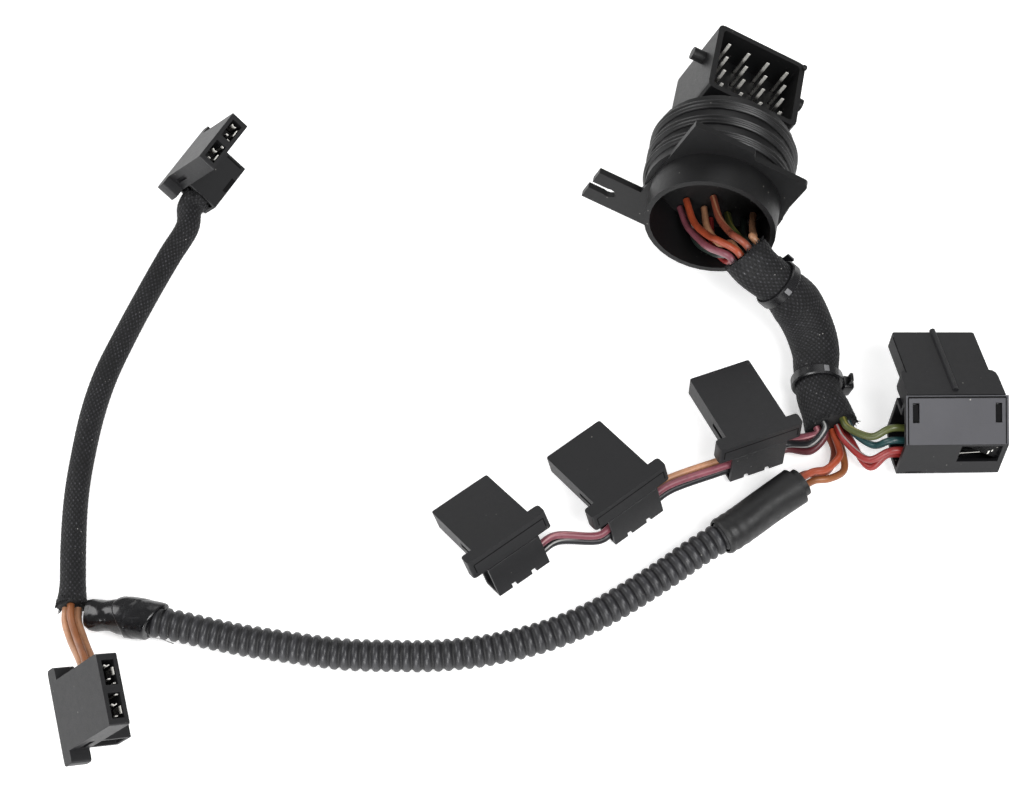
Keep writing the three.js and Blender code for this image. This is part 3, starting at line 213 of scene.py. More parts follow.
WIRES: tuple[Wire, ...] = (
    Wire("wire_chain_mauve", Hue.MAUVE, chain((
        *at("trunk_end", (-5.3, -0.5, 1.8), (-5.3, -2.4, 1.8)), *at("floor", (95.5, -21.4, 8.4))),
        0, "plug_c"), Hue.PINK),
    Wire("wire_chain_black", Hue.BLACK, chain((
        *at("trunk_end", (-3.2, -0.5, 4.4), (-3.2, -2.4, 4.4)), *at("floor", (97.2, -24.4, 9.4))),
        2, "plug_c"), Hue.WHITE),
    Wire("wire_chain_crimson", Hue.CRIMSON, chain((
        *at("trunk_end", (-2.6, -0.5, -0.6), (-2.6, -2.4, -0.6)), *at("floor", (97.2, -24.9, 5.2))),
        4, "plug_b")),
    Wire("wire_chain_peach", Hue.PEACH, chain((
        *at("trunk_end", (-5.3, -0.5, -1.6), (-5.3, -2.4, -1.6)), *at("floor", (95.3, -21.8, 4.6))),
        6, "plug_b")),
    Wire("wire_wide_olive", Hue.OLIVE, (
        *at("trunk_end", (3.4, -0.5, 4), (3.8, -3.2, 4)), *at("floor", (116, -24.5, 13.6)),
        *to_wide_plug(-2.6, -12.6)), Hue.YELLOW),
    Wire("wire_wide_teal", Hue.TEAL, (
        *at("trunk_end", (5.4, -0.5, 1), (5.9, -3.6, 1)), *at("floor", (117, -25.5, 9.8)),
        *to_wide_plug(-5.2, -15.6)), Hue.WHITE),
    Wire("wire_wide_red_upper", Hue.RED, (
        *at("trunk_end", (1.8, -0.5, 0.6), (2.4, -5.4, 0.6)), *at("floor", (115, -30.4, 9)),
        *to_wide_plug(-8, -17.4)), Hue.WHITE),
    Wire("wire_wide_red_lower", Hue.RED, (
        *at("trunk_end", (4.6, -0.5, -2.4), (5.4, -5, -2.4)), *at("floor", (116, -31, 5.2)),
        *to_wide_plug(-6.6, -20.6))),
    Wire("wire_conduit_brown", Hue.BROWN, (
        *at("trunk_end", (-0.4, -0.5, -5), (-0.2, -6.6, -5)),
        *at("floor", (103.5, -29.8, 3.4), (99.5, -34.2, 5.4)), *to_conduit(-1.8, 4, -1.4))),
    Wire("wire_conduit_ochre", Hue.OCHRE, (
        *at("trunk_end", (2.2, -0.5, -4.9), (2.2, -9, -5)),
        *at("floor", (107.4, -31.8, 4.2), (102, -35.8, 6)), *to_conduit(1.6, 4.4, -1.5))),
    Wire("wire_conduit_orange", Hue.ORANGE, (
        *at("trunk_end", (0.4, -0.5, -1.8), (0.6, -8, -1.6)),
        *at("floor", (105.8, -28.6, 7.8), (101, -34, 9)), *to_conduit(0, 4.2, 1.7))),
    Wire("wire_tail_peach", Hue.PEACH, (
        *at("branch_root", (-1.9, -0.5, -0.6), (-1.6, -5, -0.5)), *at("floor", (-136.4, -92.5, 6)),
        *to_tail_plug(3.1, -10.2))),
    Wire("wire_tail_ochre", Hue.OCHRE, (
        *at("branch_root", (0, -0.5, 1.9), (0.6, -5, 2.2)), *at("floor", (-134.2, -92.5, 8.6)),
        *to_tail_plug(5.9, -10.2))),
    Wire("wire_tail_tan", Hue.PEACH, (
        *at("branch_root", (1.9, -0.5, -0.8), (2.4, -5, -0.8)), *at("floor", (-132.2, -92.5, 5.2)),
        *to_tail_plug(4.4, -13.4))),
    Wire("wire_cup_mauve", Hue.MAUVE, (
        *at("bulkhead", (-5.4, CUP_START, -16.4), (-2, -3.4, -14.8), (1.5, -10.3, -10.8), (3.2, -18.2, -4)),
        *to_trunk(-4.8, -0.2))),
    Wire("wire_cup_orange", Hue.ORANGE, (
        *at("bulkhead", (-5.6, CUP_START, -11.6), (-1.6, -4.3, -10.7), (2.1, -11.9, -5.6), (3.6, -18.3, 1.1)),
        *to_trunk(-3, 2.7))),
    Wire("wire_cup_tan", Hue.PEACH, (
        *at("bulkhead", (1.4, CUP_START, -11.6), (3.4, -4, -10.6), (7.6, -11, -7.6), (9, -15.2, -0.8)),
        *to_trunk(-1.1, -0.2))),
    Wire("wire_cup_brown", Hue.BROWN, (
        *at("bulkhead", (1.2, CUP_START, -4.8), (4.6, -4, -4.2), (7.7, -11.8, 0), (7.1, -16.7, 4.6)),
        *to_trunk(0.6, 3.6)), Hue.PEACH),
    Wire("wire_cup_black", Hue.GREEN, (
        *at("bulkhead", (-1.4, CUP_START, -17.2), (3, -5.6, -17.2), (8.2, -12, -12), (8.7, -16.8, -5.8)),
        *to_trunk(-2.6, -3.2)), Hue.WHITE),
    Wire("wire_cup_green", Hue.OLIVE, (
        *at("bulkhead", (9.4, CUP_START, -9.6), (9.6, -4, -5.4), (11.5, -10, -1.9), (11.5, -14.2, 1.7)),
        *to_trunk(2.4, 0.3)), Hue.YELLOW),
    Wire("wire_cup_dark", Hue.GREEN, (
        *at("bulkhead", (15.2, CUP_START, -8.6), (14.3, -4.2, -5.4), (13.9, -10.4, -1.6)), *to_trunk(5.2, -2.4))),
    Wire("wire_cup_outer_tan", Hue.PEACH, (
        *at("bulkhead", (16.6, CUP_START, -4.6), (16.2, -4.1, -2.2), (15.3, -10.4, 2)), *to_trunk(5.7, 1.2))),
    Wire("wire_cup_red", Hue.RED, (
        *at("bulkhead", (5.6, CUP_START, -15.2), (8.8, -7, -15), (13, -12.6, -12.2), (12.5, -16.6, -5.3)),
        *to_trunk(0.9, -6.1))),
)


def linear(colour: Iterable[float]) -> tuple[float, float, float, float]:
    """A display colour of 0 to 255 as the linear colour that a shader takes.

    Args:
        colour: red, green and blue from 0 to 255.

    Returns:
        Red, green, blue and an alpha of one.
    """
    share = np.asarray(tuple(colour), float) / 255
    value = np.where(share <= 0.04045, share / 12.92, ((share + 0.055) / 1.055) ** 2.4)
    return (float(value[0]), float(value[1]), float(value[2]), 1.0)


def place_matrix(name: str) -> np.ndarray:
    """The 4 by 4 matrix of a place, in metres in the row frame.

    Args:
        name: key of PLACES.

    Returns:
        Yaw about Z, then pitch about X, then roll about Y, moved to the place.
    """
    x, y, z, yaw, pitch, roll = PLACES[name]
    turn = (Matrix.Rotation(math.radians(yaw), 3, "Z") @ Matrix.Rotation(math.radians(pitch), 3, "X")
            @ Matrix.Rotation(math.radians(roll), 3, "Y"))
    matrix = np.eye(4)
    matrix[:3, :3] = np.array(turn)
    matrix[:3, 3] = (np.array([x, y, z]) + ROW_SHIFT) * MM
    return matrix


def placed(name: str, points: np.ndarray) -> np.ndarray:
    """Points in a place's own axes and millimetres, moved to the row frame in metres."""
    matrix = place_matrix(name)
    return points * MM @ matrix[:3, :3].T + matrix[:3, 3]


def around(columns: int) -> np.ndarray:
    """Angles evenly spaced over one turn, in radians."""
    return 2 * math.pi * np.arange(columns) / columns


@dataclass(frozen=True)
class Path:
    """A smooth line with a frame at each of its evenly spaced points."""

    points: np.ndarray
    along: np.ndarray
    side: np.ndarray
    up: np.ndarray
    distance: np.ndarray

    @property
    def length(self) -> float:
        """Length of the line in metres."""
        return float(self.distance[-1])

    @classmethod
    def through(cls, route: Route, step: float) -> Path:
        """A line through a route's points: a centripetal Catmull-Rom spline, sampled evenly.

        Args:
            route: places and offsets in millimetres.
            step: distance between samples, in metres.

        Returns:
            The sampled line.
        """
        knots = np.vstack([placed(place, np.array([[x, y, z]], float)) for place, x, y, z in route])
        return cls.from_points(catmull_rom(knots), step)

    @classmethod
    def from_points(cls, dense: np.ndarray, step: float) -> Path:
        """A line sampled evenly from a dense one.

        The side of each frame is the one before it, less its share along the new tangent.

        Args:
            dense: closely spaced points in metres.
            step: distance between samples, in metres.

        Returns:
            The sampled line.
        """
        run = np.concatenate([[0], np.cumsum(np.linalg.norm(np.diff(dense, axis=0), axis=1))])
        count = max(2, int(round(run[-1] / step)) + 1)
        distance = np.linspace(0, run[-1], count)
        points = np.stack([np.interp(distance, run, dense[:, axis]) for axis in range(3)], axis=1)
        along = np.gradient(points, axis=0)
        along /= np.linalg.norm(along, axis=1, keepdims=True)
        side = np.empty_like(along)
        first = np.cross((0, 0, 1), along[0])
        side[0] = first / np.linalg.norm(first)
        for i in range(1, count):
            turned = side[i - 1] - along[i] * (side[i - 1] @ along[i])
            side[i] = turned / np.linalg.norm(turned)
        return cls(points, along, side, np.cross(along, side), distance)

    def tube(self, radius: np.ndarray, columns: int) -> np.ndarray:
        """Points of a tube round the line.

        Each ring is the line's point plus the radius times side and up turned by the angle round.

        Args:
            radius: metres, for each ring, or for each ring and column.
            columns: points round each ring.

        Returns:
            Points by ring and column.
        """
        angle = around(columns)[None, :, None]
        reach = np.broadcast_to(radius.reshape(len(self.points), -1), (len(self.points), columns))
        out = self.side[:, None] * np.cos(angle) + self.up[:, None] * np.sin(angle)
        return self.points[:, None] + out * reach[:, :, None]

    def frames(self, distance: np.ndarray) -> Iterable[np.ndarray]:
        """The line's point, side and up at each of some distances along it, in metres."""
        return (np.stack([np.interp(distance, self.distance, values[:, k]) for k in range(3)], axis=-1)
                for values in (self.points, self.side, self.up))

    def sheet(self, distance: np.ndarray, radius: np.ndarray) -> np.ndarray:
        """Points round the line whose distance along it may differ from column to column.

        Args:
            distance: metres along the line, by ring and column.
            radius: metres, by ring and column.

        Returns:
            Points by ring and column.
        """
        angle = around(distance.shape[1])[None, :, None]
        point, side, up = self.frames(distance)
        return point + (side * np.cos(angle) + up * np.sin(angle)) * radius[:, :, None]

    def at(self, distance: float) -> np.ndarray:
        """The 4 by 4 frame at a distance along the line: side, up, along and position.

        Args:
            distance: metres from the line's start.

        Returns:
            The frame nearest to that distance.
        """
        i = int(np.argmin(np.abs(self.distance - distance)))
        matrix = np.eye(4)
        matrix[:3, 0], matrix[:3, 1], matrix[:3, 2] = self.side[i], self.up[i], self.along[i]
        matrix[:3, 3] = self.points[i]
        return matrix


def catmull_rom(knots: np.ndarray, samples: int = 60) -> np.ndarray:
    """A centripetal Catmull-Rom spline through knots, with mirrored points beyond its ends.

    Each span is a cubic whose end slopes come from the knots on both sides, spaced by the square root
    of their distance.

    Args:
        knots: points that the line passes through.
        samples: points in each span.

    Returns:
        The spline's points.
    """
    ends = np.vstack([2 * knots[0] - knots[1], knots, 2 * knots[-1] - knots[-2]])
    gaps = np.maximum(np.linalg.norm(np.diff(ends, axis=0), axis=1) ** 0.5, 1e-9)[:, None]
    p0, p1, p2, p3 = ends[:-3], ends[1:-2], ends[2:-1], ends[3:]
    d0, d1, d2 = gaps[:-2], gaps[1:-1], gaps[2:]
    start = ((p1 - p0) / d0 - (p2 - p0) / (d0 + d1) + (p2 - p1) / d1) * d1
    stop = ((p2 - p1) / d1 - (p3 - p1) / (d1 + d2) + (p3 - p2) / d2) * d1
    t = np.linspace(0, 1, samples, endpoint=False)[None, :, None]
    p1, p2, start, stop = (value[:, None] for value in (p1, p2, start, stop))
    line = p1 + start * t + (3 * (p2 - p1) - 2 * start - stop) * t**2 + (2 * (p1 - p2) + start + stop) * t**3
    return np.vstack([line.reshape(-1, 3), knots[-1]])


@dataclass
class Skin:
    """A grid of points, by ring and column: each ring is closed, and the ends are capped or joined along."""

    points: np.ndarray
    along: bool = False
    relief: np.ndarray | None = None
    strand: np.ndarray | None = None
    rise: np.ndarray | None = None

    def faces(self) -> tuple[list[np.ndarray], np.ndarray]:
        """The caps and the quads of the grid, all facing out.

        Returns:
            Cap polygons, and the quads as rows of four indices.
        """
        rows, columns = self.points.shape[:2]
        index = np.arange(rows * columns).reshape(rows, columns)
        right = np.roll(index, -1, axis=1)
        quads = np.stack([index, right, np.roll(right, -1, axis=0), np.roll(index, -1, axis=0)], axis=-1)
        caps = [] if self.along else [index[0][::-1], index[-1]]
        quads = (quads if self.along else quads[:-1]).reshape(-1, 4)
        if self.volume(quads, caps) < 0:
            quads = quads[:, ::-1]
            caps = [cap[::-1] for cap in caps]
        return caps, quads

    def volume(self, quads: np.ndarray, caps: Sequence[np.ndarray]) -> float:
        """The signed volume inside the faces, which is negative when they face in.

        Args:
            quads: rows of four indices.
            caps: polygons at the ends.

        Returns:
            Six times the volume.
        """
        flat = self.points.reshape(-1, 3) - self.points.reshape(-1, 3).mean(axis=0)
        a, b, c, d = (flat[quads[:, k]] for k in range(4))
        total = np.einsum("ij,ij->", a, np.cross(b, c)) + np.einsum("ij,ij->", a, np.cross(c, d))
        for cap in caps:
            ring = flat[cap]
            total += np.einsum("ij,ij->", np.broadcast_to(ring[0], ring[1:-1].shape), np.cross(ring[1:-1], ring[2:]))
        return float(total)

    def rise_by_ring(self) -> np.ndarray:
        """Distance along at each ring: unless it is given, a step is the longer of the middle's and the first column's.

        Returns:
            Centimetres from the first ring.
        """
        if self.rise is not None:
            return self.rise
        middle = self.points.mean(axis=1)
        steps = np.linalg.norm(np.diff(middle, axis=0), axis=1)
        edges = np.linalg.norm(np.diff(self.points[:, 0], axis=0), axis=1)
        return np.concatenate([[0], np.cumsum(np.maximum(steps, edges))]) * 100


def mark(mesh: bpy.types.Mesh, label: str, domain: str, values: np.ndarray) -> None:
    """Keeps a value for each point or face of a mesh under a label that a finish reads.

    Args:
        mesh: the shape.
        label: name of the attribute.
        domain: POINT or FACE.
        values: one for each.
    """
    mesh.attributes.new(label, "FLOAT", domain).data.foreach_set("value", values.astype(np.float32))


def read(items: bpy.types.bpy_prop_collection, label: str, width: int = 1, kind: type = float) -> np.ndarray:
    """One property of all points, corners or faces of a mesh.

    Args:
        items: the points, corners or faces.
        label: name of the property.
        width: numbers in each value.
        kind: their type.

    Returns:
        A list of numbers, or rows of that width.
    """
    values = np.empty(len(items) * width, kind)
    items.foreach_get(label, values)
    return values if width == 1 else values.reshape(-1, width)


def skin_mesh(name: str, skins: Sequence[Skin]) -> bpy.types.Mesh:
    """One mesh of several grids, with a map of its length and its turn round each grid.

    The map's first value is the distance along in centimetres, and its second runs from 0 to 1 round.

    Args:
        name: name of the mesh.
        skins: grids to join.

    Returns:
        The finished mesh.
    """
    points, loops, starts, maps, relief, strand = [], [], [], [], [], []
    base = 0
    loop_base = 0
    for skin in skins:
        columns = skin.points.shape[1]
        flat = skin.points.reshape(-1, 3)
        caps, quads = skin.faces()
        rise = skin.rise_by_ring()
        row_of, column_of = quads // columns, quads % columns
        turn = column_of / columns
        crosses = (column_of.max(axis=1) - column_of.min(axis=1)) > 1
        turn = np.where(crosses[:, None] & (column_of == 0), 1.0, turn)
        maps.append(np.stack([rise[row_of], turn], axis=-1).reshape(-1, 2))
        loops.append(quads.ravel() + base)
        starts.append(loop_base + 4 * np.arange(len(quads)))
        loop_base += 4 * len(quads)
        for cap in caps:
            maps.append(np.stack([rise[cap // columns], (cap % columns) / columns], axis=-1))
            loops.append(cap + base)
            starts.append(np.array([loop_base]))
            loop_base += len(cap)
        points.append(flat)
        zero = np.zeros(len(flat))
        relief.append(zero if skin.relief is None else skin.relief.ravel())
        strand.append(zero if skin.strand is None else skin.strand.ravel())
        base += len(flat)
    mesh = bpy.data.meshes.new(name)
    mesh.vertices.add(base)
    mesh.vertices.foreach_set("co", np.concatenate(points).ravel())
    mesh.loops.add(loop_base)
    mesh.loops.foreach_set("vertex_index", np.concatenate(loops).astype(np.int32))
    mesh.polygons.add(sum(len(s) for s in starts))
    mesh.polygons.foreach_set("loop_start", np.concatenate(starts).astype(np.int32))
    mesh.update(calc_edges=True)
    mesh.uv_layers.new(name=SKIN_MAP)
    mesh.uv_layers[SKIN_MAP].uv.foreach_set("vector", np.concatenate(maps).ravel().astype(np.float32))
    for label, values in ((RELIEF, relief), (YARN_TONE_AND_SHADE, strand)):
        mark(mesh, label, "POINT", np.concatenate(values))
    mesh.validate()
    return mesh


def weigh_normals(mesh: bpy.types.Mesh, crease: float = 50.0) -> None:
    """Shades flat faces flat and lets only the narrow rounded edges bend the light.

    The normal at a face's corner is the sum of the normals of the faces round that point that look
    within the crease of its own, each times its area.

    Args:
        mesh: the shape to shade.
        crease: greatest angle between faces that share their shading, in degrees.
    """
    point = read(mesh.loops, "vertex_index", kind=np.int32)
    normal = read(mesh.polygons, "normal", 3)
    area = read(mesh.polygons, "area")
    total = read(mesh.polygons, "loop_total", kind=np.int32)
    face = np.repeat(np.arange(len(total)), total)
    order = np.argsort(point, kind="stable")
    limit = math.cos(math.radians(crease))
    shaded = np.empty((len(point), 3))
    for group in np.split(order, np.flatnonzero(np.diff(point[order])) + 1):
        own = normal[face[group]]
        near = own @ own.T > limit
        shaded[group] = near @ (own * area[face[group]][:, None])
    shaded /= np.maximum(np.linalg.norm(shaded, axis=1, keepdims=True), 1e-12)
    mesh.normals_split_custom_set(shaded)


def show(mesh: bpy.types.Mesh, material: bpy.types.Material, replaced: Sequence[str] = (),
         crease: float | None = 50.0) -> bpy.types.Object:
    """A piece of the object that rides on the one body and takes a finish.

    A softened copy of a CAD node keeps its flat faces flat, and has no crease.

    Args:
        mesh: its shape, with its place in it.
        material: its finish.
        replaced: CAD nodes that the piece stands for.
        crease: edges sharper than this many degrees stay sharp, or None where none does.

    Returns:
        The piece.
    """
    piece = bpy.data.objects.new(mesh.name, mesh)
    bpy.context.scene.collection.objects.link(piece)
    mesh.materials.append(material)
    mesh.shade_smooth()
    if WORN in mesh.attributes:
        weigh_normals(mesh)
    elif crease is not None:
        mesh.set_sharp_from_angle(angle=math.radians(crease))
    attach(piece, ROOT)
    if replaced:
        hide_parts(*replaced)
    LOG.info("%s: %d faces", piece.name, len(mesh.polygons))
    return piece


class Nodes:
    """A short way to add and join the nodes of one tree."""

    def __init__(self, tree: bpy.types.NodeTree) -> None:
        """Keeps the tree that the nodes go into."""
        self.tree = tree

    def feed(self, socket: bpy.types.NodeSocket, value: object) -> None:
        """Joins another socket to this one, or sets it to a constant."""
        if isinstance(value, bpy.types.NodeSocket):
            self.tree.links.new(value, socket)
        else:
            socket.default_value = value

    def add(self, kind: str, inputs: dict | None = None, **settings: object) -> bpy.types.Node:
        """A new node.

        Args:
            kind: its type in Blender.
            inputs: what goes into its sockets, by name or index.
            settings: its own properties.

        Returns:
            The node.
        """
        node = self.tree.nodes.new(kind)
        for key, value in settings.items():
            setattr(node, key, value)
        for key, value in (inputs or {}).items():
            self.feed(node.inputs[key], value)
        return node

    def math(self, operation: str, first: object, second: object = 0.0, third: object = 0.0) -> bpy.types.NodeSocket:
        """The result of one operation on up to three values."""
        return self.add("ShaderNodeMath", {0: first, 1: second, 2: third}, operation=operation).outputs[0]

    def spread(self, value: object, low: float, high: float, to_low: object = 0.0,
               to_high: object = 1.0) -> bpy.types.NodeSocket:
        """A value carried from one range to another, and held at its ends."""
        inputs = {0: value, 1: low, 2: high, 3: to_low, 4: to_high}
        return self.add("ShaderNodeMapRange", inputs, interpolation_type="SMOOTHSTEP").outputs[0]

    def blend(self, share: object, first: object, second: object) -> bpy.types.NodeSocket:
        """Two colours mixed by a share."""
        return self.add("ShaderNodeMix", {0: share, 6: first, 7: second}, data_type="RGBA").outputs[2]

    def noise(self, where: object, scale: object, detail: float, rough: float = 0.55) -> bpy.types.NodeSocket:
        """Smooth noise from 0 to 1 at a scale per metre of the coordinates."""
        inputs = {"Vector": where, "Scale": scale, "Detail": detail, "Roughness": rough}
        return self.add("ShaderNodeTexNoise", inputs).outputs[0]


Build = Callable[[Nodes, dict], dict]


def shader_group(name: str, inputs: dict[str, object], outputs: dict[str, str], build: Build) -> bpy.types.NodeTree:
    """A shader node group, built once.

    Args:
        name: its name.
        inputs: default of each input: a number, or a tuple for a vector or colour.
        outputs: socket type of each output.
        build: adds the nodes, and gives the socket for each output.

    Returns:
        The group's tree.
    """
    tree = bpy.data.node_groups.new(name, "ShaderNodeTree")
    for label, default in inputs.items():
        kinds = {float: "NodeSocketFloat", tuple: "NodeSocketVector" if label == "Where" else "NodeSocketColor"}
        socket = tree.interface.new_socket(name=label, in_out="INPUT", socket_type=kinds[type(default)])
        socket.default_value = default
    for label, kind in outputs.items():
        tree.interface.new_socket(name=label, in_out="OUTPUT", socket_type=kind)
    nodes = Nodes(tree)
    given = nodes.add("NodeGroupInput")
    taken = nodes.add("NodeGroupOutput")
    made = build(nodes, {label: given.outputs[label] for label in inputs})
    for label, socket in made.items():
        nodes.feed(taken.inputs[label], socket)
    return tree


def build_grain(nodes: Nodes, given: dict) -> dict:
    """Spark-eroded grain: fine noise over a coarser one, as a height and as a change of gloss.

    Args:
        nodes: the tree of the group.
        given: its input sockets by name.

    Returns:
        The socket for each of its outputs.
    """
    fine = nodes.noise(given["Where"], given["Scale"], 3.0, 0.6)
    coarse = nodes.noise(given["Where"], nodes.math("MULTIPLY", given["Scale"], 0.22), 2.0, 0.5)
    height = nodes.math("ADD", nodes.math("MULTIPLY", fine, 0.65), nodes.math("MULTIPLY", coarse, 0.35))
    gloss = nodes.math("MULTIPLY", nodes.math("SUBTRACT", height, 0.5), given["Gloss"])
    return {"Height": height, "Gloss": gloss}


def build_specks(nodes: Nodes, given: dict) -> dict:
    """Dust and lint: small cells kept only where a random value of the cell is high.

    Args:
        nodes: the tree of the group.
        given: its input sockets by name.

    Returns:
        The socket for each of its outputs.
    """
    cells = nodes.add("ShaderNodeTexVoronoi", {"Vector": given["Where"], "Scale": given["Scale"]})
    chance = nodes.add("ShaderNodeSeparateColor", {0: cells.outputs["Color"]}).outputs[0]
    kept = nodes.spread(chance, 0.9, 0.96)
    near = nodes.spread(cells.outputs["Distance"], 0.08, 0.22, 1.0, 0.0)
    patch = nodes.spread(nodes.noise(given["Where"], 90.0, 2.0), 0.42, 0.62)
    mask = nodes.math("MULTIPLY", nodes.math("MULTIPLY", kept, near), patch)
    return {"Mask": nodes.math("MULTIPLY", mask, given["Amount"])}


def build_mottle(nodes: Nodes, given: dict) -> dict:
    """Slow change of tone over a surface: a colour made darker and lighter by broad noise.

    Args:
        nodes: the tree of the group.
        given: its input sockets by name.

    Returns:
        The socket for each of its outputs.
    """
    broad = nodes.spread(nodes.noise(given["Where"], given["Scale"], 3.0), 0.3, 0.7, -1.0, 1.0)
    value = nodes.math("MULTIPLY_ADD", broad, given["Amount"], 1.0)
    node = nodes.add("ShaderNodeHueSaturation", {"Color": given["Colour"], "Value": value})
    return {"Colour": node.outputs[0]}


def build_scuffs(nodes: Nodes, given: dict) -> dict:
    """Handling marks: thin stretched noise in two directions, kept in patches.

    Args:
        nodes: the tree of the group.
        given: its input sockets by name.

    Returns:
        The socket for each of its outputs.
    """
    marks = []
    for stretch in ((1.0, 0.06, 1.0), (0.07, 1.0, 1.0)):
        turned = nodes.add("ShaderNodeMapping", {"Vector": given["Where"], "Rotation": (0.4, 0.3, 0.7),
                                                 "Scale": stretch})
        marks.append(nodes.spread(nodes.noise(turned.outputs[0], given["Scale"], 2.0), 0.63, 0.72))
    both = nodes.math("MAXIMUM", marks[0], marks[1])
    patch = nodes.spread(nodes.noise(given["Where"], 70.0, 2.0), 0.45, 0.65)
    return {"Mask": nodes.math("MULTIPLY", nodes.math("MULTIPLY", both, patch), given["Amount"])}


def build_edges(nodes: Nodes, given: dict) -> dict:
    """Worn edges: the rounded edges of a moulding, broken up by noise.

    Args:
        nodes: the tree of the group.
        given: its input sockets by name.

    Returns:
        The socket for each of its outputs.
    """
    broken = nodes.spread(nodes.noise(given["Where"], 420.0, 3.0), 0.25, 0.7)
    return {"Mask": nodes.math("MULTIPLY", nodes.math("MULTIPLY", given["Ridge"], broken), given["Amount"])}


VALUE = "NodeSocketFloat"
COLOUR = "NodeSocketColor"
ORIGIN = (0.0, 0.0, 0.0)
GROUPS = {
    "grain": shader_group("moulded_grain", {"Where": ORIGIN, "Scale": 2200.0, "Gloss": 0.2},
                          {"Height": VALUE, "Gloss": VALUE}, build_grain),
    "specks": shader_group("dust_specks", {"Where": ORIGIN, "Scale": 500.0, "Amount": 0.5},
                           {"Mask": VALUE}, build_specks),
    "mottle": shader_group("tone_mottle", {"Where": ORIGIN, "Colour": (0.5, 0.5, 0.5, 1.0), "Scale": 60.0,
                                           "Amount": 0.1}, {"Colour": COLOUR}, build_mottle),
    "scuffs": shader_group("handling_scuffs", {"Where": ORIGIN, "Scale": 900.0, "Amount": 0.3},
                           {"Mask": VALUE}, build_scuffs),
    "edges": shader_group("worn_edges", {"Where": ORIGIN, "Ridge": 0.0, "Amount": 0.4}, {"Mask": VALUE}, build_edges),
}


class Paint(Nodes):
    """The tree of one material, with its Principled BSDF and its coordinates at hand."""

    def __init__(self, name: str) -> None:
        """Makes an empty material with a Principled BSDF."""
        self.material = bpy.data.materials.new(name)
        self.material.use_nodes = True
        super().__init__(self.material.node_tree)
        self.bsdf = self.tree.nodes["Principled BSDF"]
        self.where = self.add("ShaderNodeTexCoord").outputs["Object"]

    def group(self, label: str, **inputs: object) -> bpy.types.Node:
        """One of the shared groups, fed with these values and the surface's own coordinates."""
        node = self.add("ShaderNodeGroup", node_tree=GROUPS[label])
        self.feed(node.inputs["Where"], self.where)
        for key, value in inputs.items():
            self.feed(node.inputs[key], value)
        return node

    def attribute(self, label: str) -> bpy.types.NodeSocket:
        """A value kept at the surface's own points."""
        return self.add("ShaderNodeAttribute", attribute_name=label).outputs["Fac"]

    def skin_map(self) -> tuple[bpy.types.NodeSocket, bpy.types.NodeSocket]:
        """The distance along in centimetres and the turn round, from the piece's own map."""
        where = self.add("ShaderNodeUVMap", uv_map=SKIN_MAP).outputs[0]
        parts = self.add("ShaderNodeSeparateXYZ", {0: where})
        return parts.outputs[0], parts.outputs[1]

    def bump(self, height: object, depth: float, under: object | None = None) -> bpy.types.NodeSocket:
        """A normal from a height, on top of another normal if one is given.

        Args:
            height: value from 0 to 1.
            depth: how far a whole unit of height stands up, in metres.
            under: normal that it adds to.

        Returns:
            The new normal.
        """
        inputs = {"Height": height, "Strength": 1.0, "Distance": depth}
        if under is not None:
            inputs["Normal"] = under
        return self.add("ShaderNodeBump", inputs).outputs[0]

    def finish(self, **inputs: object) -> bpy.types.Material:
        """Feeds the Principled BSDF and gives the material."""
        for key, value in inputs.items():
            self.feed(self.bsdf.inputs[key.replace("_", " ")], value)
        return self.material


DUST = (150, 148, 142)


@dataclass(frozen=True)
class Moulding:
    """Injection-moulded plastic: fine grain, slow mottling, dust, light scuffs, paler edges, and a painted highlight on
    faces marked for it.
    """

    name: str
    colour: tuple[int, int, int]
    gloss: float = 0.46
    grain: float = 1.1e-5
    grain_scale: float = 2300.0
    worn: float = 0.35
    dust: float = 0.5
    specular: float = 0.5
    painted_lit_face: tuple[int, int, int] | None = None

    def material(self) -> bpy.types.Material:
        """Builds the material.

        Returns:
            The material.
        """
        paint = Paint(self.name)
        colour = linear(self.colour)
        # Faces marked in the relief attribute take a paler colour: a painted highlight for the light that falls on
        # them.
        if self.painted_lit_face is not None:
            colour = paint.blend(paint.attribute(RELIEF), colour, linear(self.painted_lit_face))
        tone = paint.group("mottle", Colour=colour, Scale=65.0, Amount=0.05).outputs[0]
        edges = paint.group("edges", Ridge=paint.attribute(WORN), Amount=self.worn).outputs[0]
        scuffs = paint.group("scuffs", Amount=0.1).outputs[0]
        specks = paint.group("specks", Scale=620.0, Amount=self.dust).outputs[0]
        pale = linear(min(255, c + 46) for c in self.colour)
        tone = paint.blend(edges, tone, pale)
        tone = paint.blend(scuffs, tone, linear(c + 22 for c in self.colour))
        tone = paint.blend(specks, tone, linear(DUST))
        grain = paint.group("grain", Scale=self.grain_scale, Gloss=0.3)
        gloss = paint.math("ADD", grain.outputs["Gloss"], self.gloss)
        gloss = paint.math("ADD", gloss, paint.math("MULTIPLY", scuffs, 0.25))
        normal = paint.bump(grain.outputs["Height"], self.grain)
        return paint.finish(Base_Color=tone, Roughness=gloss, Normal=normal, Specular_IOR_Level=self.specular)


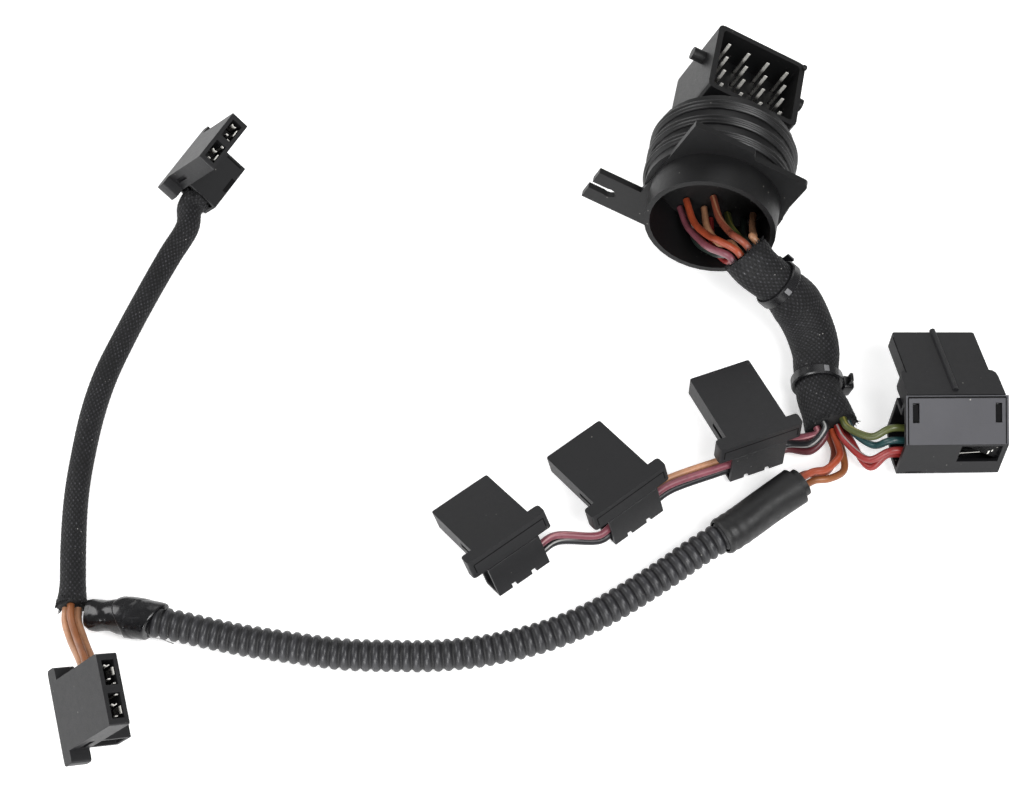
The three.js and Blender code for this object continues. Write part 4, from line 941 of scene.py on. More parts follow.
@dataclass(frozen=True)
class Insulation:
    """Extruded wire insulation: satin, slightly uneven along its length, with an optional tracer line."""

    name: str
    hue: Hue
    tracer: Hue | None = None

    def material(self) -> bpy.types.Material:
        """Builds the material.

        Returns:
            The material.
        """
        paint = Paint(self.name)
        tone = paint.group("mottle", Colour=linear(self.hue.value), Scale=160.0, Amount=0.14).outputs[0]
        if self.tracer is not None:
            along, turn = paint.skin_map()
            twist = paint.math("FRACT", paint.math("MULTIPLY_ADD", along, 0.09, turn))
            near = paint.math("ABSOLUTE", paint.math("SUBTRACT", twist, 0.3))
            line = paint.spread(near, 0.028, 0.045, 0.8, 0.0)
            tone = paint.blend(line, tone, linear(self.tracer.value))
        darker = paint.spread(paint.noise(paint.where, 700.0, 3.0), 0.5, 0.75, 0.0, 0.35)
        tone = paint.blend(darker, tone, linear(0.62 * c for c in self.hue.value))
        specks = paint.group("specks", Scale=760.0, Amount=0.4).outputs[0]
        tone = paint.blend(specks, tone, linear((70, 60, 54)))
        grain = paint.group("grain", Scale=1500.0, Gloss=0.3)
        gloss = paint.math("ADD", grain.outputs["Gloss"], 0.36)
        normal = paint.bump(grain.outputs["Height"], 2.5e-5)
        return paint.finish(Base_Color=tone, Roughness=gloss, Normal=normal)


@dataclass(frozen=True)
class BraidFinish:
    """Woven yarn: each yarn with its own tone and painted shade, painted shade between yarns, and painted highlights on
    the yarns' crowns.
    """

    name: str = "braid"

    def material(self) -> bpy.types.Material:
        """Builds the material.

        Returns:
            The material.
        """
        paint = Paint(self.name)
        height = paint.attribute(RELIEF)
        strand = paint.attribute(YARN_TONE_AND_SHADE)
        # The strand tone is each yarn's own tone with painted shade on the second family and between filaments.
        yarn = paint.blend(strand, linear((8, 8, 9)), linear((22, 22, 24)))
        # Painted shade: near black where the relief is low, in the gaps between yarns.
        depth = paint.spread(height, 0.4, 0.78)
        tone = paint.blend(depth, linear((4, 4, 5)), yarn)
        # Painted highlights: pale glints on the highest crowns, broken up by noise and weaker on the darker family.
        filaments = paint.noise(paint.where, 2600.0, 2.0)
        crown = paint.math("MULTIPLY", paint.spread(height, 0.86, 0.99), paint.spread(filaments, 0.4, 0.62))
        crown = paint.math("MULTIPLY", crown, paint.math("MULTIPLY_ADD", strand, 0.75, 0.1))
        tone = paint.blend(crown, tone, linear((92, 92, 97)))
        specks = paint.group("specks", Scale=900.0, Amount=0.9).outputs[0]
        tone = paint.blend(specks, tone, linear((176, 174, 170)))
        gloss = paint.spread(filaments, 0.3, 0.7, 0.5, 0.85)
        normal = paint.bump(filaments, 6e-5)
        return paint.finish(Base_Color=tone, Roughness=gloss, Normal=normal, Specular_IOR_Level=0.3)


@dataclass(frozen=True)
class ConduitFinish:
    """Ribbed nylon tube: the crests painted paler as a highlight and the valleys darker as shade, with paler patches on
    the crests that are rubbed wear and painted highlight; the crests are smoother.
    """

    name: str = "conduit"

    def material(self) -> bpy.types.Material:
        """Builds the material.

        Returns:
            The material.
        """
        paint = Paint(self.name)
        crest = paint.attribute(RELIEF)
        # Painted light: the crests are paler as a painted highlight, and the valleys and bore darker as painted shade.
        tone = paint.blend(crest, linear((13, 13, 15)), linear((33, 33, 36)))
        tone = paint.group("mottle", Colour=tone, Scale=110.0, Amount=0.2).outputs[0]
        # Paler patches on the crests: rubbed wear with a painted highlight.
        rubbed_highlight = paint.spread(paint.noise(paint.where, 520.0, 4.0), 0.5, 0.7)
        rubbed_highlight = paint.math("MULTIPLY", rubbed_highlight, paint.spread(crest, 0.75, 1.0, 0.0, 0.5))
        tone = paint.blend(rubbed_highlight, tone, linear((54, 54, 58)))
        specks = paint.group("specks", Scale=640.0, Amount=0.6).outputs[0]
        tone = paint.blend(specks, tone, linear((140, 138, 132)))
        grain = paint.group("grain", Scale=1700.0, Gloss=0.35)
        gloss = paint.math("ADD", grain.outputs["Gloss"], paint.spread(crest, 0.2, 1.0, 0.6, 0.4))
        normal = paint.bump(grain.outputs["Height"], 3e-5)
        return paint.finish(Base_Color=tone, Roughness=gloss, Normal=normal)


@dataclass(frozen=True)
class FilmFinish:
    """Glossy black film, for tape and shrink sleeve: soft creases, smears and paler scuffed patches."""

    name: str
    colour: tuple[int, int, int]
    gloss: float
    crease: float

    def material(self) -> bpy.types.Material:
        """Builds the material.

        Returns:
            The material.
        """
        paint = Paint(self.name)
        tone = paint.group("mottle", Colour=linear(self.colour), Scale=90.0, Amount=0.2).outputs[0]
        scuffs = paint.group("scuffs", Scale=700.0, Amount=0.45).outputs[0]
        tone = paint.blend(scuffs, tone, linear(c + 40 for c in self.colour))
        specks = paint.group("specks", Scale=620.0, Amount=0.5).outputs[0]
        tone = paint.blend(specks, tone, linear(DUST))
        smear = paint.noise(paint.where, 240.0, 4.0)
        gloss = paint.math("ADD", paint.spread(smear, 0.3, 0.7, -0.06, 0.1), self.gloss)
        folds = paint.noise(paint.where, 190.0, 2.0)
        normal = paint.bump(folds, self.crease)
        normal = paint.bump(paint.noise(paint.where, 1500.0, 3.0), 1.2e-5, normal)
        return paint.finish(Base_Color=tone, Roughness=gloss, Normal=normal)


@dataclass(frozen=True)
class TinFinish:
    """Tinned contact metal with faint drawing lines: it mirrors what is round it, and is frosted where it is used."""

    name: str = "tin"
    colour: tuple[int, int, int] = (226, 224, 218)

    def material(self) -> bpy.types.Material:
        """Builds the material.

        Returns:
            The material.
        """
        paint = Paint(self.name)
        tone = paint.group("mottle", Colour=linear(self.colour), Scale=400.0, Amount=0.12).outputs[0]
        stretched = paint.add("ShaderNodeMapping", {"Vector": paint.where, "Scale": (1.0, 1.0, 0.08)}).outputs[0]
        lines = paint.noise(stretched, 5200.0, 2.0)
        gloss = paint.spread(lines, 0.3, 0.7, 0.22, 0.4)
        normal = paint.bump(lines, 1.5e-5)
        return paint.finish(Base_Color=tone, Roughness=gloss, Normal=normal,
                            Metallic=paint.spread(paint.attribute(RELIEF), 0.7, 0.95, 1.0, 0.3))


@dataclass
class Palette:
    """Every finish of the harness, made once."""

    housing: bpy.types.Material = field(init=False)
    plug: bpy.types.Material = field(init=False)
    hood: bpy.types.Material = field(init=False)
    seal: bpy.types.Material = field(init=False)
    tin: bpy.types.Material = field(init=False)
    shaded_tin: bpy.types.Material = field(init=False)
    braid: bpy.types.Material = field(init=False)
    conduit: bpy.types.Material = field(init=False)
    tape: bpy.types.Material = field(init=False)
    shrink: bpy.types.Material = field(init=False)
    tie: bpy.types.Material = field(init=False)
    highlight_pad: bpy.types.Material = field(init=False)
    shadow: bpy.types.Material = field(init=False)

    def __post_init__(self) -> None:
        """Builds the materials."""
        self.housing = Moulding("housing", (13, 13, 14), gloss=0.5, worn=0.5, specular=0.34).material()
        self.plug = Moulding("plug", (19, 19, 21), gloss=0.5, specular=0.42).material()
        # The hood's sloped face is painted paler (66, 66, 70): a painted highlight.
        self.hood = Moulding("plug_hood", (17, 17, 19), gloss=0.42, dust=1.0, specular=0.28,
                             painted_lit_face=(66, 66, 70)).material()
        self.seal = Moulding("seal", (14, 14, 15), gloss=0.36, grain=1.5e-6, worn=0.1).material()
        self.tin = TinFinish().material()
        # A darker copy of the tin: painted shade for the contact strip deep in the hood.
        self.shaded_tin = TinFinish("shaded_tin", (74, 74, 78)).material()
        self.braid = BraidFinish().material()
        self.conduit = ConduitFinish().material()
        self.tape = FilmFinish("tape", (17, 17, 19), 0.22, 3.2e-4).material()
        self.shrink = FilmFinish("shrink_sleeve", (9, 9, 10), 0.48, 1.6e-4).material()
        self.tie = Moulding("tie", (18, 18, 20), gloss=0.26, grain=4e-6, worn=0.2).material()
        # Pale pads on the ties: painted highlights that stand in for glints on the strap.
        self.highlight_pad = Moulding("tie_highlight_pad", (112, 112, 114), gloss=0.3, grain=4e-6, worn=0.2).material()
        self.shadow = Moulding("shadow_gap", (8, 8, 9), gloss=0.7, worn=0.0, dust=0.0, specular=0.15).material()

    def wire(self, wire: Wire) -> bpy.types.Material:
        """The insulation of one wire."""
        return Insulation(wire.name, wire.hue, wire.tracer).material()


@dataclass
class WireSet:
    """All single wires: round tubes that follow their routes."""

    palette: Palette
    radius: float = 1.2 * MM
    columns: int = 18
    step: float = 0.7 * MM
    shortest: float = 32 * MM

    def build(self) -> None:
        for wire in WIRES:
            path = Path.through(wire.route, self.step)
            if path.length < self.shortest:
                hidden = (self.shortest - path.length) * path.along[0]
                run_in = path.points[0] - hidden * np.linspace(1, 0, 12, endpoint=False)[:, None]
                path = Path.from_points(np.vstack([run_in, path.points]), self.step)
            radius = np.full(len(path.points), self.radius)
            skin = Skin(path.tube(radius, self.columns))
            replaced = (wire.name,) if wire.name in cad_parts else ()
            mesh = skin_mesh(f"{wire.name}_insulation", [skin])
            piece = show(mesh, self.palette.wire(wire), replaced)


Girth = tuple[tuple[float, float], ...]

TRUNK_GIRTH: Girth = ((0, 7.9), (9, 7.3), (15.5, 7.1), (26, 8.7), (40, 8.3))
TRUNK_END_GIRTH: Girth = ((17.5, 7.1), (9, 7.4), (0, 8.4))
BRANCH_GIRTH: Girth = ((0, 5), (2, 4.5), (4, 4.2), (8, 3.9))
BRANCH_END_GIRTH: Girth = ((8, 3.9), (4, 4.2), (2, 4.5), (0, 5))


@dataclass
class Braid:
    """A braided sleeve: two families of yarns that pass over and under each other round a tube."""

    name: str
    node: str
    route: Route
    girth: Girth
    end_girth: Girth
    yarns: int
    lay: float
    columns: int
    step: float
    lumps: float = 0.03
    relief: float = 0.42 * MM
    seed: int = 3

    def weave(self, turn: np.ndarray, along: np.ndarray) -> tuple[np.ndarray, np.ndarray]:
        """Height and tone of the plain weave.

        A yarn's coordinate across is the count of yarns times the turn round plus or minus the
        distance over the lay. Each yarn is half a circle across, and rises and falls as a cosine
        of the other family's coordinate.

        Args:
            turn: share of the way round, by column.
            along: distance along, by ring, in metres.

        Returns:
            Height from 0 to 1, and a tone from 0 to 1: each yarn's own tone, with painted shade between its filaments
            and over the whole second family.
        """
        first = self.yarns * (turn[None, :] + along[:, None] / self.lay)
        second = self.yarns * (turn[None, :] - along[:, None] / self.lay)
        tones = np.random.default_rng(self.seed).random((2, self.yarns))
        heights, shades = [], []
        for own, other, sign, tone in ((first, second, 1.0, tones[0]), (second, first, -1.0, tones[1])):
            index = np.floor(own)
            across = 2 * (own - index) - 1
            bulge = np.sqrt(np.clip(1 - across**2, 0, 1))
            crossed = np.floor(other)
            twill = sign * np.cos(math.pi * (crossed + 0.5 + (other - crossed - 0.5) * 0.9 + index - 0.5))
            heights.append(0.45 * bulge + 0.3 + 0.25 * twill * bulge)
            # Painted shade: each yarn is darker between its three filaments.
            painted_filament_shade = 0.5 + 0.5 * np.cos(2 * math.pi * 3 * (own - index))
            # Painted shade: the second family is darker all over, as if the light fell along the first.
            painted_family_shade = 1.0 if sign > 0 else 0.55
            shades.append(painted_family_shade * (0.55 * tone[index.astype(int) % self.yarns] + 0.45 * painted_filament_shade))
        over = heights[0] > heights[1]
        return np.where(over, heights[0], heights[1]), np.where(over, shades[0], shades[1])

    def base_radius(self, path: Path) -> np.ndarray:
        """Radius of the sleeve under its yarns: the two lists joined, and rounded at their knots.

        Args:
            path: the sleeve's line.

        Returns:
            Metres, for each ring.
        """
        length = path.length / MM
        knots = np.array([*self.girth, *((length - back, radius) for back, radius in self.end_girth)])
        radius = np.interp(path.distance / MM, knots[:, 0], knots[:, 1]) * MM
        reach = int(2.2 * MM / self.step)
        kernel = np.hanning(2 * reach + 3)[1:-1]
        padded = np.pad(radius, reach, mode="edge")
        return np.convolve(padded, kernel / kernel.sum(), mode="valid")

    def build(self, palette: Palette) -> Path:
        """Builds the sleeve with its loose yarn ends.

        Args:
            palette: the finishes.

        Returns:
            The line that it follows.
        """
        path = Path.through(self.route, self.step)
        turn = np.arange(self.columns) / self.columns
        height, shade = self.weave(turn, path.distance)
        angle = 2 * math.pi * turn[None, :]
        wave = np.sin(2 * angle + 90 * path.distance[:, None]) + 0.6 * np.sin(3 * angle - 150 * path.distance[:, None])
        body = self.base_radius(path)[:, None] * (1 + self.lumps * wave)
        skin = Skin(path.tube(body + self.relief * (height - 0.7), self.columns), relief=height, strand=shade)
        piece = show(skin_mesh(self.name, [skin]), palette.braid, (self.node,), crease=None)
        self.fray(path, palette)
        return path

    def fray(self, path: Path, palette: Palette) -> None:
        """Loose yarn ends at both ends: thin tubes that leave the rim and bend outwards.

        Args:
            path: the sleeve's line.
            palette: the finishes.
        """
        random = np.random.default_rng(self.seed + 7)
        skins = []
        for end, sign in ((0, -1.0), (len(path.points) - 1, 1.0)):
            rim = self.base_radius(path)[end]
            for _ in range(self.yarns * 3):
                angle = random.uniform(0, 2 * math.pi)
                out = path.side[end] * math.cos(angle) + path.up[end] * math.sin(angle)
                lean = path.side[end] * random.normal(0, 0.35) + path.up[end] * random.normal(0, 0.35)
                reach = random.uniform(0.4, 1.3) * MM
                t = np.linspace(-1.5, 1, 8)[:, None]
                ahead = sign * path.along[end] * t * reach
                line = path.points[end] + out * (rim - 0.1 * MM + 0.25 * MM * np.clip(t, 0, 1) ** 2) + ahead
                line = line + lean * reach * np.clip(t, 0, 1) ** 2
                line[:, 2] = np.maximum(line[:, 2], 0.25 * MM)
                strand = Path.from_points(line, reach / 5)
                taper = np.linspace(0.24, 0.12, len(strand.points)) * MM
                tone = np.full((len(strand.points), 5), random.uniform(0.2, 1.0))
                skins.append(Skin(strand.tube(taper, 5), relief=np.full_like(tone, 0.8), strand=tone))
        show(skin_mesh(f"{self.name}_loose_ends", skins), palette.braid)


@dataclass
class Conduit:
    """The ribbed tube."""

    radius: float = 5 * MM
    valley: float = 4.1 * MM
    bore: float = 3.4 * MM
    pitch: float = 3.15 * MM
    columns: int = 40
    rings_per_rib: int = 12
    bore_every: int = 6
    squareness: float = 1.9

    def ribs(self, distance: np.ndarray, length: float) -> np.ndarray:
        """Rib height from 0 to 1: a cosine over the pitch, squared off into a round crest.

        Args:
            distance: metres along the tube.
            length: the whole tube's length in metres, over which the ribs are centred.

        Returns:
            Height at each distance.
        """
        count = math.floor(length / self.pitch)
        margin = (length - count * self.pitch) / 2
        wave = 0.5 - 0.5 * np.cos(2 * math.pi * (distance - margin) / self.pitch)
        inside = (distance > margin) & (distance < length - margin)
        return np.where(inside, 1 - (1 - wave) ** self.squareness, 0.0)

    def build(self, palette: Palette) -> None:
        """Builds the tube, with its outside and its bore as one closed skin.

        Args:
            palette: the finishes.
        """
        path = Path.through(CONDUIT_ROUTE, self.pitch / self.rings_per_rib)
        crest = self.ribs(path.distance, path.length)
        outer = path.tube(self.valley + (self.radius - self.valley) * crest, self.columns)
        inner = path.tube(np.full(len(path.points), self.bore), self.columns)[::-1][::self.bore_every]
        grid = np.concatenate([outer, inner])
        relief = np.concatenate([crest, np.zeros(len(inner))])[:, None] * np.ones((1, self.columns))
        rise = np.concatenate([path.distance, path.distance[::-1][::self.bore_every]]) * 100
        skin = Skin(grid, along=True, relief=relief, rise=rise)
        piece = show(skin_mesh("conduit_ribbed", [skin]), palette.conduit, ("conduit",))


@dataclass
class ShrinkSleeve:
    """The sleeve shrunk on the conduit's trunk end: it keeps a trace of the ribs, and its mouth is pressed flat."""

    tube: float = 5 * MM
    pitch: float = 3.15 * MM
    gap: float = 0.45 * MM
    wall: float = 0.7 * MM
    overlap: float = 7 * MM
    trace: float = 0.16 * MM
    trace_reach: float = 11 * MM
    mouth_reach: float = 14 * MM
    dent_reach: float = 9 * MM
    rim: float = 2.2 * MM
    lining: float = 2.7 * MM
    columns: int = 48
    step: float = 0.5 * MM

    def build(self, palette: Palette) -> None:
        """Builds the sleeve: its outside, the step in its mouth, its bore, and its lap over the tube.

        The outside is a circle flattened towards the mouth by a cosine of twice the angle and dented by a
        sine of three times the angle, with a sine of the ribs' pitch that fades from the lapped end.

        Args:
            palette: the finishes.
        """
        path = Path.through(END_SLEEVE_ROUTE, self.step)
        distance = path.distance[:, None]
        angle = around(self.columns)[None, :]
        outside = self.tube + self.gap + self.wall
        ribs = self.trace * np.sin(2 * math.pi * distance / self.pitch) * np.clip(1 - distance / self.trace_reach, 0, 1)
        near_mouth = np.clip((distance - path.length + self.mouth_reach) / self.mouth_reach, 0, 1)
        flat = 1 + near_mouth * (0.07 * np.cos(2 * angle) - 0.02)
        dents = 0.018 * np.sin(3 * angle + 120 * distance) * np.clip(distance / self.dent_reach, 0, 1)
        start = 0.35 * MM * np.clip(1 - distance / (1.2 * MM), 0, 1)
        shell = outside * (flat + dents) + ribs - start
        mouth = flat + 0.6 * dents
        outer = path.tube(shell, self.columns)[path.distance < path.length - self.rim]
        lip = path.tube((self.tube - 0.35 * MM) * mouth, self.columns)[path.distance >= path.length - self.lining]
        bore = path.tube((self.tube - 0.9 * MM) * mouth, self.columns)[path.distance > self.overlap + 1 * MM][::-1]
        lap = path.tube(np.full(len(path.points), self.tube + self.gap * 0.6), self.columns)
        lap = lap[path.distance <= self.overlap][::-1]
        skin = Skin(np.concatenate([outer, lip, bore, lap]), along=True)
        show(skin_mesh("conduit_shrink_sleeve", [skin]), palette.shrink, ("conduit_end_sleeve",), crease=38)


@dataclass
class TapeWrap:
    """The tape at the branch: a narrow wrap, a wide one over it whose two edges lie at a slant, and a loose tail."""

    neck_girth: Girth = ((0, 4.0), (1.5, 4.7), (4, 5.05), (8, 4.95), (10.4, 5.4), (13, 5.7))
    wrap_girth: Girth = ((9, 6.15), (12, 6.4), (16, 6.35), (25, 6.2))
    film: float = 0.12 * MM
    lap: float = 0.16 * MM
    tail_start: float = 15
    tail_length: float = 14
    tail_turn: float = 222
    columns: int = 64
    rings: int = 48
    step: float = 0.3 * MM

    def build(self, palette: Palette) -> None:
        """Builds the two wraps and the tail.

        Args:
            palette: the finishes.
        """
        path = Path.through(TAPE_ROUTE, self.step)
        skins = [*self.wraps(path), self.tail(path)]
        show(skin_mesh("conduit_tape_wrap", skins), palette.tape, ("conduit_tape",), crease=38)

    def radius(self, girth: Girth, distance: np.ndarray) -> np.ndarray:
        """Radius at each distance, both in metres: straight lines between the pairs of a list in millimetres."""
        where, size = np.array(girth).T
        return np.interp(distance / MM, where, size) * MM

    def wraps(self, path: Path) -> tuple[Skin, Skin]:
        """The narrow wrap with its uneven lobes, and the wide one with the step of its lap and its thin lips.

        Both edges of the wide wrap are cosines of the angle, and the narrow wrap ends under the near one.

        Args:
            path: the line under the tape.

        Returns:
            The two wraps.
        """
        angle = around(self.columns)[None, :]
        near_edge = (11.2 + 1.2 * np.cos(2 * angle) - 0.7 * np.cos(angle)) * MM
        far_edge = (22.3 + 2.4 * np.cos(angle)) * MM
        share = np.linspace(0, 1, self.rings)[:, None]
        distance = share * (near_edge + 0.6 * MM)
        lobes = 0.2 * MM * np.sin(2 * angle + 620 * distance) + 0.12 * MM * np.sin(3 * angle - 900 * distance)
        neck = path.sheet(distance, self.radius(self.neck_girth, distance) + lobes * np.clip(1 - share**6, 0, 1))
        distance = near_edge + share * (far_edge - near_edge)
        step = self.lap * np.clip(4 - np.abs(distance / MM - 15.5 - 4.5 * np.cos(angle + 0.9)) * 1.4, 0, 1)
        lip = 0.3 * MM * (np.exp(-share * 40) + np.exp(-(1 - share) * 40))
        return Skin(neck), Skin(path.sheet(distance, self.radius(self.wrap_girth, distance) + step - lip))

    def tail(self, path: Path) -> Skin:
        """The loose tail: a strip of film that narrows along the tube and ripples as a sine.

        Args:
            path: the line under the tape.

        Returns:
            The film's lower side and its upper side, joined into one ring at each station.
        """
        share = np.linspace(0, 1, 14)[:, None]
        across = np.linspace(-1, 1, 9)[None, :]
        run = (self.tail_start + self.tail_length * share + 0 * across) * MM
        lean = math.radians(self.tail_turn) + 0.16 * (1 - 0.7 * share) * across + 0 * run
        out = (5.6 + 0.25 * across + 0.35 * np.sin(7 * share)) * MM + 0 * run
        middle, side, up = path.frames(run)
        under = middle + (side * np.cos(lean)[:, :, None] + up * np.sin(lean)[:, :, None]) * out[:, :, None]
        under[:, :, 2] = np.maximum(under[:, :, 2], 0.3 * MM)
        over = under + np.array([0.0, 0.0, self.film])
        return Skin(np.concatenate([under, over[:, ::-1]], axis=1))


@dataclass
class CableTie:
    """A cable tie: a strap with fine teeth, a square head with its pawl, a cut tail and pale pads on the strap that are
    painted highlights.
    """

    name: str
    node: str
    place: np.ndarray
    inside: float
    highlight_pads: tuple[float, ...]
    width: float = 3.6 * MM
    thick: float = 1.1 * MM
    slack: float = 0.3 * MM
    head: tuple[float, ...] = (-0.4, 3.6, -2.8, 2.8, 2.4, 0.9)
    tail: tuple[float, ...] = (1, 2.1, 2.3, 5.8, 1.5, 0.25)
    pawl: tuple[float, ...] = (3.1, 3.95, -1.7, 1.7, 1.1, 0.2)
    highlight_pad: tuple[float, ...] = (-0.3, 0.35, -0.85, 0.85, 1.1, 0.12)

    def block(self, sizes: tuple[float, ...], columns: int = 32) -> np.ndarray:
        """A rounded block on the strap's outside.

        Args:
            sizes: its two sides out from the strap and across it, half its height, and the radius of its
                edges, in millimetres.
            columns: points round each ring.

        Returns:
            Points by ring and column.
        """
        near, far, left, right, half, radius = (size * MM for size in sizes)
        edge = self.inside + self.thick
        return rounded_block((edge + near, edge + far), (left, right), (-half, half), radius, columns)

    def build(self, palette: Palette) -> None:
        """Builds the tie round its own Z axis, and puts it in place.

        Args:
            palette: the finishes.
        """
        columns = 160
        angle = around(columns)
        half = self.width / 2
        outline = [(0, -half), (self.thick * 0.7, -half), (self.thick, -half * 0.78), (self.thick, half * 0.78),
                   (self.thick * 0.7, half), (0, half)]
        rings = []
        teeth = 0.1 * MM * (np.arange(columns) % 2)
        for out, along in outline:
            radius = self.inside + out + (teeth if out >= self.thick else 0)
            rings.append(np.stack([radius * np.cos(angle), radius * np.sin(angle), np.full(columns, along)], axis=-1))
        skins = [Skin(np.array(rings), along=True)]
        skins += [Skin(self.block(sizes)) for sizes in (self.head, self.tail, self.pawl)]
        for skin in skins:
            skin.points = skin.points @ self.place[:3, :3].T + self.place[:3, 3]
        show(skin_mesh(self.name, skins), palette.tie, (self.node,), crease=40)
        # Small pale pads on the strap: painted highlights.
        highlight_pads = []
        for turn in self.highlight_pads:
            spin = np.array(Matrix.Rotation(math.radians(turn), 3, "Z"))
            highlight_pads.append(Skin((self.block(self.highlight_pad, 16) @ spin.T) @ self.place[:3, :3].T + self.place[:3, 3]))
        show(skin_mesh(f"{self.name}_highlight_pads", highlight_pads), palette.highlight_pad, crease=40)

    @classmethod
    def round_sleeve(cls, label: str, sleeve: Braid, path: Path, distance: float, turn: float,
                     highlight_pads: tuple[float, ...]) -> CableTie:
        """A tie round a braided sleeve.

        Args:
            label: tells it from the other ties.
            sleeve: what it holds together.
            path: the sleeve's line.
            distance: its place along the line, in metres.
            turn: where its head lies round the line, in degrees.
            highlight_pads: where its pale pads, painted highlights, lie from there, in degrees.

        Returns:
            The tie.
        """
        place = path.at(distance) @ np.array(Matrix.Rotation(math.radians(turn), 4, "Z"))
        under = float(sleeve.base_radius(path)[np.argmin(np.abs(path.distance - distance))])
        return cls(f"cable_tie_{label}_strap", f"cable_tie_{label}", place, under + cls.slack, highlight_pads)


def rounded_block(x: tuple[float, float], y: tuple[float, float], z: tuple[float, float], radius: float,
                  columns: int = 32) -> np.ndarray:
    """A block with rounded edges, as rings up its Z axis.

    Each ring is a superellipse-like rectangle with round corners, drawn in at the bottom and the top
    by a quarter circle of the radius.

    Args:
        x: its two sides along X.
        y: its two sides along Y.
        z: its bottom and top.
        radius: of the edges.
        columns: points round each ring.

    Returns:
        Points by ring and column.
    """
    quarter = np.linspace(0, math.pi / 2, 5)
    inset = [(z[0] + radius * (1 - math.cos(a)), radius * (1 - math.sin(a))) for a in quarter]
    top = [(z[1] - height + z[0], pull) for height, pull in reversed(inset)]
    centre = np.array([(x[0] + x[1]) / 2, (y[0] + y[1]) / 2])
    half = np.array([(x[1] - x[0]) / 2, (y[1] - y[0]) / 2])
    turn = np.arange(columns) // (columns // 4)
    share = (np.arange(columns) % (columns // 4)) / (columns // 4 - 1)
    angle = (turn + share) * math.pi / 2
    signs = np.stack([np.where((turn == 0) | (turn == 3), 1, -1), np.where(turn < 2, 1, -1)], axis=1)
    rings = []
    for height, pull in inset + top:
        reach = half - radius
        corner = signs * reach + (radius - pull) * np.stack([np.cos(angle), np.sin(angle)], axis=1)
        rings.append(np.column_stack([corner + centre, np.full(columns, height)]))
    return np.array(rings)


def bar(place: str, start: Sequence[float], end: Sequence[float], width: float, facing: Sequence[float],
        thick: float = 0.06, used: tuple[float, float] = (0.0, 0.0)) -> Skin:
    """A straight flat bar in a place's own axes.

    Args:
        place: key of PLACES.
        start: one end, in millimetres.
        end: the other end.
        width: its size across, in the plane of the face.
        facing: direction in which its face looks.
        thick: its size in that direction.
        used: how frosted it is along its two long edges, where it is of metal.

    Returns:
        The bar's two square ends as rings.
    """
    first, last, out = (np.array(value, float) for value in (start, end, facing))
    out = out / np.linalg.norm(out) * thick / 2
    side = np.cross(out, last - first)
    side = side / np.linalg.norm(side) * width / 2
    ring = np.array([side + out, out - side, -side - out, side - out])
    grid = placed(place, np.concatenate([first + ring, last + ring])).reshape(2, 4, 3)
    return Skin(grid, relief=np.array([used + used[::-1]] * 2))


def softened(name: str, nodes: Sequence[str], width: float, segments: int = 2,
             angle: float = 33.0) -> bpy.types.Mesh:
    """A copy of CAD nodes with their sharp edges rounded.

    Args:
        name: name of the mesh.
        nodes: CAD nodes to copy.
        width: width of the rounding, in metres.
        segments: strips across each rounded edge.
        angle: edges sharper than this many degrees are rounded.

    Returns:
        The mesh.
    """
    work = bmesh.new()
    for node in nodes:
        work.from_mesh(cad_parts[node].data)
    bmesh.ops.remove_doubles(work, verts=work.verts, dist=4e-6)
    bmesh.ops.dissolve_limit(work, angle_limit=math.radians(0.8), verts=work.verts, edges=work.edges)
    sharp = [edge for edge in work.edges if len(edge.link_faces) == 2
             and edge.calc_face_angle(0.0) > math.radians(angle)]
    worn = work.faces.layers.float.new(WORN)
    made = bmesh.ops.bevel(work, geom=sharp, offset=width, offset_type="OFFSET", segments=segments, profile=0.5,
                           affect="EDGES", clamp_overlap=True)
    for face in made["faces"]:
        face[worn] = 1.0
    bmesh.ops.triangulate(work, faces=[face for face in work.faces if len(face.verts) > 4])
    mesh = bpy.data.meshes.new(name)
    work.to_mesh(mesh)
    work.free()
    for label in list(mesh.attributes.keys()):
        if label.startswith("custom_normal"):
            mesh.attributes.remove(mesh.attributes[label])
    return mesh


